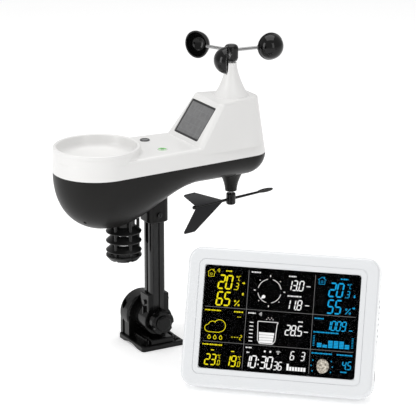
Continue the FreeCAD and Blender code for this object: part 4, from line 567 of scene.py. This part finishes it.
# %% Wind, rain and time
dial = Vector((COLUMNS[0] + 32, 32.5))
for quarter in range(4):
    white.arc(dial, 17.5, 0.75, 12 + 90 * quarter, 78 + 90 * quarter, 12)
for eighth in range(8):
    turn = math.radians(45 * eighth)
    tick = Vector((math.cos(turn), math.sin(turn)))
    white.bar(dial + tick * 20.2, dial + tick * (23.4 if eighth % 2 == 0 else 22.0), 1.3)
pointer = dial + Vector((-8.0, 8.5))
white.disc(pointer, 2.5)
white.shape([pointer + Vector((-4.2, 3.3)), pointer + Vector((-1.9, -1.3)), pointer + Vector((0.9, 2.3))])
wind_left = COLUMNS[0] + 57
white.number("13.0", wind_left, 15, 13.8)
white.number("11.8", wind_left - 0.5, 43, 13.5)
for top in (21.5, 49):
    white.block(wind_left + 28.5, top, 6, 1.2)

beaker_left, beaker_top = COLUMNS[0] + 18.3, 77
beaker = [(0, 0), (30, 0), (28.4, 3.5), (27, 27), (23.5, 32), (4.5, 32), (1.2, 27), (0, 0)]
white.line([Vector((beaker_left + x, beaker_top + y)) for x, y in beaker], 0.9)
for level in range(4):
    inset = 0.6 * level
    white.block(beaker_left + 2.6 + inset * 0.6, beaker_top + 15.5 + 3.9 * level, 22.6 - inset * 1.4, 3.5)
for tick_number in range(6):
    white.block(COLUMNS[0] + 6.4, 78.8 + 5.4 * tick_number, 5.5, 1.2)
for column in range(5):
    white.disc((beaker_left + 12.5 + 2.4 * column, beaker_top - 3.5 - 2.4 * (column % 2)), 0.65)
white.number("28.5", COLUMNS[0] + 59, 79.7, 14)
white.block(COLUMNS[0] + 86.5, 87, 6, 1.3)

white.number("10:30", COLUMNS[0] + 1.5, 127.5, 16.8)
white.number("36", COLUMNS[0] + 45.4, 133.6, 11.4)
white.number("6", COLUMNS[0] + 69, 117, 11.8)
white.number("3", COLUMNS[0] + 84.2, 117, 11.8)
for day in range(7):
    lit = day == 0
    white.block(COLUMNS[0] + 65 + 4.1 * day, 135 if lit else 139, 3.2, 9.6 if lit else 5.6)
for left in (31.6, 39.7):
    white.disc((COLUMNS[0] + left, 119.8), 1.5, 12)
signal = Vector((COLUMNS[0] + 51.3, 122))
for radius in (2.4, 4.2):
    white.arc(signal, radius, 0.6, 220, 320, 6)
white.disc(signal, 0.8)
print("wind, rain and time drawn, white tiles:", len(white.outlines))

# %% Pressure, its history and the moon's surroundings
pressure_left = COLUMNS[1]
blue.number("1009", pressure_left + 20, 69, 13.0)
blue.block(pressure_left + 54, 80.4, 5, 1.2)
HISTORY = (3, 2, 5, 5, 5, 3)
for column, height in enumerate(HISTORY):
    for step in range(height):
        blue.block(pressure_left + 9.2 + 8.05 * column, 105.7 - 2.15 * step, 6.6, 1.7)
for side in (2.8, 59.0):
    for step in range(7):
        blue.block(pressure_left + side, 105.2 - 2.3 * step, 2.6, 0.7)
moon_centre = Vector((pressure_left + 18.3, 134.5))
for angle in (150, 180, 210, -30, 0, 30):
    turn = math.radians(angle)
    spot = moon_centre + Vector((math.cos(turn), math.sin(turn))) * 15.5
    blue.bar(spot - Vector((0, 1.1)), spot + Vector((0, 1.1)), 1.5)
blue.number("4.5", pressure_left + 47.4, 125.3, 11.2)
print("pressure drawn, blue tiles:", len(blue.outlines))

# %% [markdown]
# Captions on such a screen are tiny. Rows of short bars in the field's own colour give the
# same grey texture at a glance and say nothing, which suits a generic instrument.

# %% Captions and tiles
def caption(ink, left, top, marks, height=2.0):
    for mark in range(marks):
        ink.block(left + 2.3 * mark, top + (0.3 if mark % 3 == 1 else 0), 1.7, height - (0.6 if mark % 3 == 1 else 0))


CAPTIONS = ((yellow, 31.5, 6.8, 4), (yellow, 3.4, 65, 11), (yellow, 47.5, 65, 6), (yellow, 4, 114.8, 13),
            (white, COLUMNS[0] + 4, 5.6, 6), (white, COLUMNS[0] + 59, 8, 5), (white, COLUMNS[0] + 59, 36.4, 9),
            (white, COLUMNS[0] + 3.2, 65, 5), (white, COLUMNS[0] + 77.5, 72.6, 3),
            (white, COLUMNS[0] + 3.2, 115, 4), (white, COLUMNS[0] + 5, 122, 2),
            (blue, COLUMNS[1] + 37, 6.8, 5), (blue, COLUMNS[1] + 3, 65.4, 6), (blue, COLUMNS[1] + 2.8, 85, 16),
            (blue, COLUMNS[1] + 2.3, 115.4, 13), (blue, COLUMNS[1] + 39, 115.4, 10), (blue, COLUMNS[1] + 46, 139.8, 4))
for ink, left, top, marks in CAPTIONS:
    caption(ink, left, top, marks)

ink_depth = panel_face - 0.0003
glow = {"yellow": lit_ink("segments_yellow", (1.0, 0.86, 0.01, 1), 1.0),
        "white": lit_ink("segments_white", (1.0, 1.0, 1.0, 1), 1.0),
        "blue": lit_ink("segments_blue", (0.008, 0.40, 0.80, 1), 1.0),
        "lines": lit_ink("segments_lines", (0.30, 0.30, 0.30, 1), 0.8)}
tiles("screen_yellow", yellow, ink_depth, glow["yellow"])
tiles("screen_white", white, ink_depth, glow["white"])
tiles("screen_blue", blue, ink_depth, glow["blue"])
tiles("screen_lines", lines, ink_depth, glow["lines"])


def rounded_outline(inset, radius, steps=6):
    """Points round the glass at an inset, with rounded corners."""
    points = []
    reach_x, reach_y = GLASS_WIDTH / 2 - inset - radius, GLASS_HEIGHT / 2 - inset - radius
    for quarter, (side_x, side_y) in enumerate(((1, 1), (-1, 1), (-1, -1), (1, -1))):
        for step in range(steps + 1):
            turn = math.radians(90 * quarter + 90 * step / steps)
            points.append(Vector((GLASS_WIDTH / 2 + side_x * reach_x + radius * math.cos(turn),
                                  GLASS_HEIGHT / 2 + side_y * reach_y + radius * math.sin(turn))))
    return points


border = Ink()
panel_inset = (reach("display_panel", face_right)[0] - glass_left) / MM
outer_edge, inner_edge = rounded_outline(0.4, 4.6), rounded_outline(panel_inset + 0.4, 1.2)
print("panel inset: %.1f mm" % panel_inset)
for k in range(len(outer_edge)):
    following = (k + 1) % len(outer_edge)
    border.shape([outer_edge[k], outer_edge[following], inner_edge[following], inner_edge[k]])
tiles("glass_border_print", border, glass_back + 0.00002, finishes["display_black"])

# %% [markdown]
# The moon is a printed disc with a dark edge on one side. Its seas come from two scales of noise,
# and its lit part is one shape, a half disc on the right and a narrower half ellipse on the left,
# so the panel's black shows at its left edge.

# %% Moon
def moon_print():
    finish = Finish("moon_print")
    seas = finish.add("ValToRGB", {"stops": ((0.42, (0.16, 0.13, 0.10, 1)), (0.62, (0.80, 0.74, 0.62, 1)))},
                      {0: finish.noise(260.0, 5.0, 0.6)}, "Color")
    return finish.surface(Base_Color=grey(0.02), Roughness=0.5, Emission_Color=seas, Emission_Strength=0.95)


moon = Ink()
MOON_RADIUS = 10.5
lit_edge = [Vector((math.cos(math.radians(a)), math.sin(math.radians(a)))) * MOON_RADIUS for a in range(-90, 91, 10)]
dark_edge = [Vector((-0.72 * math.cos(math.radians(a)), math.sin(math.radians(a)))) * MOON_RADIUS
             for a in range(80, -81, -10)]
moon.shape([moon_centre + point for point in lit_edge + dark_edge])
tiles("moon_disc", moon, ink_depth, moon_print())

# %% [markdown]
# The bull's-eye level on the deck is a vial in a thin ring with an air bubble under its
# lens; the light sensor beside it sits in a ring too. Both are turned shapes, so one lathe
# helper spins a profile of (radius, height) pairs round an upright axis.

# %% Lathe-turned trims
def lathe(name, profile, centre, material, body, turns=64):
    shape = bmesh.new()
    rings = []
    for radius, height in profile:
        rings.append([shape.verts.new((centre.x + radius * math.cos(2 * math.pi * k / turns),
                                       centre.y + radius * math.sin(2 * math.pi * k / turns), centre.z + height))
                      for k in range(turns)])
    for lower, upper in zip(rings, rings[1:] + rings[:1]):
        for k in range(turns):
            following = (k + 1) % turns
            shape.faces.new([lower[k], lower[following], upper[following], upper[k]])
    bmesh.ops.recalc_face_normals(shape, faces=shape.faces)
    mesh = bpy.data.meshes.new(name)
    shape.to_mesh(mesh)
    shape.free()
    mesh.materials.append(material)
    for polygon in mesh.polygons:
        polygon.use_smooth = True
    thing = bpy.data.objects.new(name, mesh)
    bpy.context.scene.collection.objects.link(thing)
    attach(thing, body)
    return thing


def top_centre(node):
    low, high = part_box(node)
    return Vector(((low[0] + high[0]) / 2, (low[1] + high[1]) / 2, high[2]))


ring_profile = [(0.0062, -0.0002), (0.0074, -0.0002), (0.0074, 0.0003), (0.0069, 0.0007), (0.0064, 0.0003)]
lathe("level_ring", ring_profile, top_centre("level_vial"), finishes["cover_white"], "head")
lathe("sensor_ring", ring_profile, top_centre("light_sensor_dome"), finishes["panel_frame"], "head")
bubble_profile = [(0.0018, 0.0), (0.0023, 0.0), (0.0023, 0.0002), (0.0018, 0.0002)]
lathe("level_mark", bubble_profile, top_centre("level_vial"), finishes["panel_frame"], "head")
print("trims on the deck done")

# %% [markdown]
# A plain white floor and large soft lamps: black plastic shows its form only by what it
# reflects, so two tall soft boxes stand left and right and a wide one hangs above.

# %% Floor and lights
def floor_finish():
    finish = Finish("studio_floor")
    grain = finish.noise(3.0, 2.0)
    base = finish.tint(grain, grey(0.92), grey(0.94))
    return finish.surface(Base_Color=base, Roughness=0.75, Emission_Color=grey(1.0), Emission_Strength=0.28)


floor_mesh = bpy.data.meshes.new("studio_floor")
reach_out = 20.0
floor_mesh.from_pydata([(-reach_out, -reach_out, 0), (reach_out, -reach_out, 0), (reach_out, reach_out, 0),
                        (-reach_out, reach_out, 0)], [], [(0, 1, 2, 3)])
floor_mesh.materials.append(floor_finish())
floor = bpy.data.objects.new("studio_floor", floor_mesh)
bpy.context.scene.collection.objects.link(floor)
floor.location.z = min(0.0, cad_box[0][2]) - 0.0002

world = bpy.data.worlds.new("studio_world")
world.use_nodes = True
world.node_tree.nodes["Background"].inputs["Color"].default_value = (1, 1, 1, 1)
world.node_tree.nodes["Background"].inputs["Strength"].default_value = 0.55
bpy.context.scene.world = world


def soft_box(name, place, target, size_x, size_y, power):
    data = bpy.data.lights.new(name, "AREA")
    data.shape = "RECTANGLE"
    data.size, data.size_y, data.energy = size_x, size_y, power
    lamp = bpy.data.objects.new(name, data)
    lamp.location = place
    lamp.rotation_euler = (Vector(target) - Vector(place)).to_track_quat("-Z", "Y").to_euler()
    bpy.context.scene.collection.objects.link(lamp)


middle = Vector((0.03, -0.1, 0.25))
soft_box("overhead_box", middle + Vector((0.1, 0.2, 2.4)), middle, 2.4, 2.4, 42)
soft_box("left_box", middle - right * 2.0 - away * 1.1 + Vector((0, 0, 0.7)), middle, 0.7, 1.8, 16)
soft_box("right_box", middle + right * 1.1 - away * 2.0 + Vector((0, 0, 0.9)), middle, 0.7, 1.8, 9)
bpy.context.scene.view_settings.view_transform = "Standard"

# %% Sizes and finish
print("CAD box", [[round(c, 4) for c in corner] for corner in cad_box])
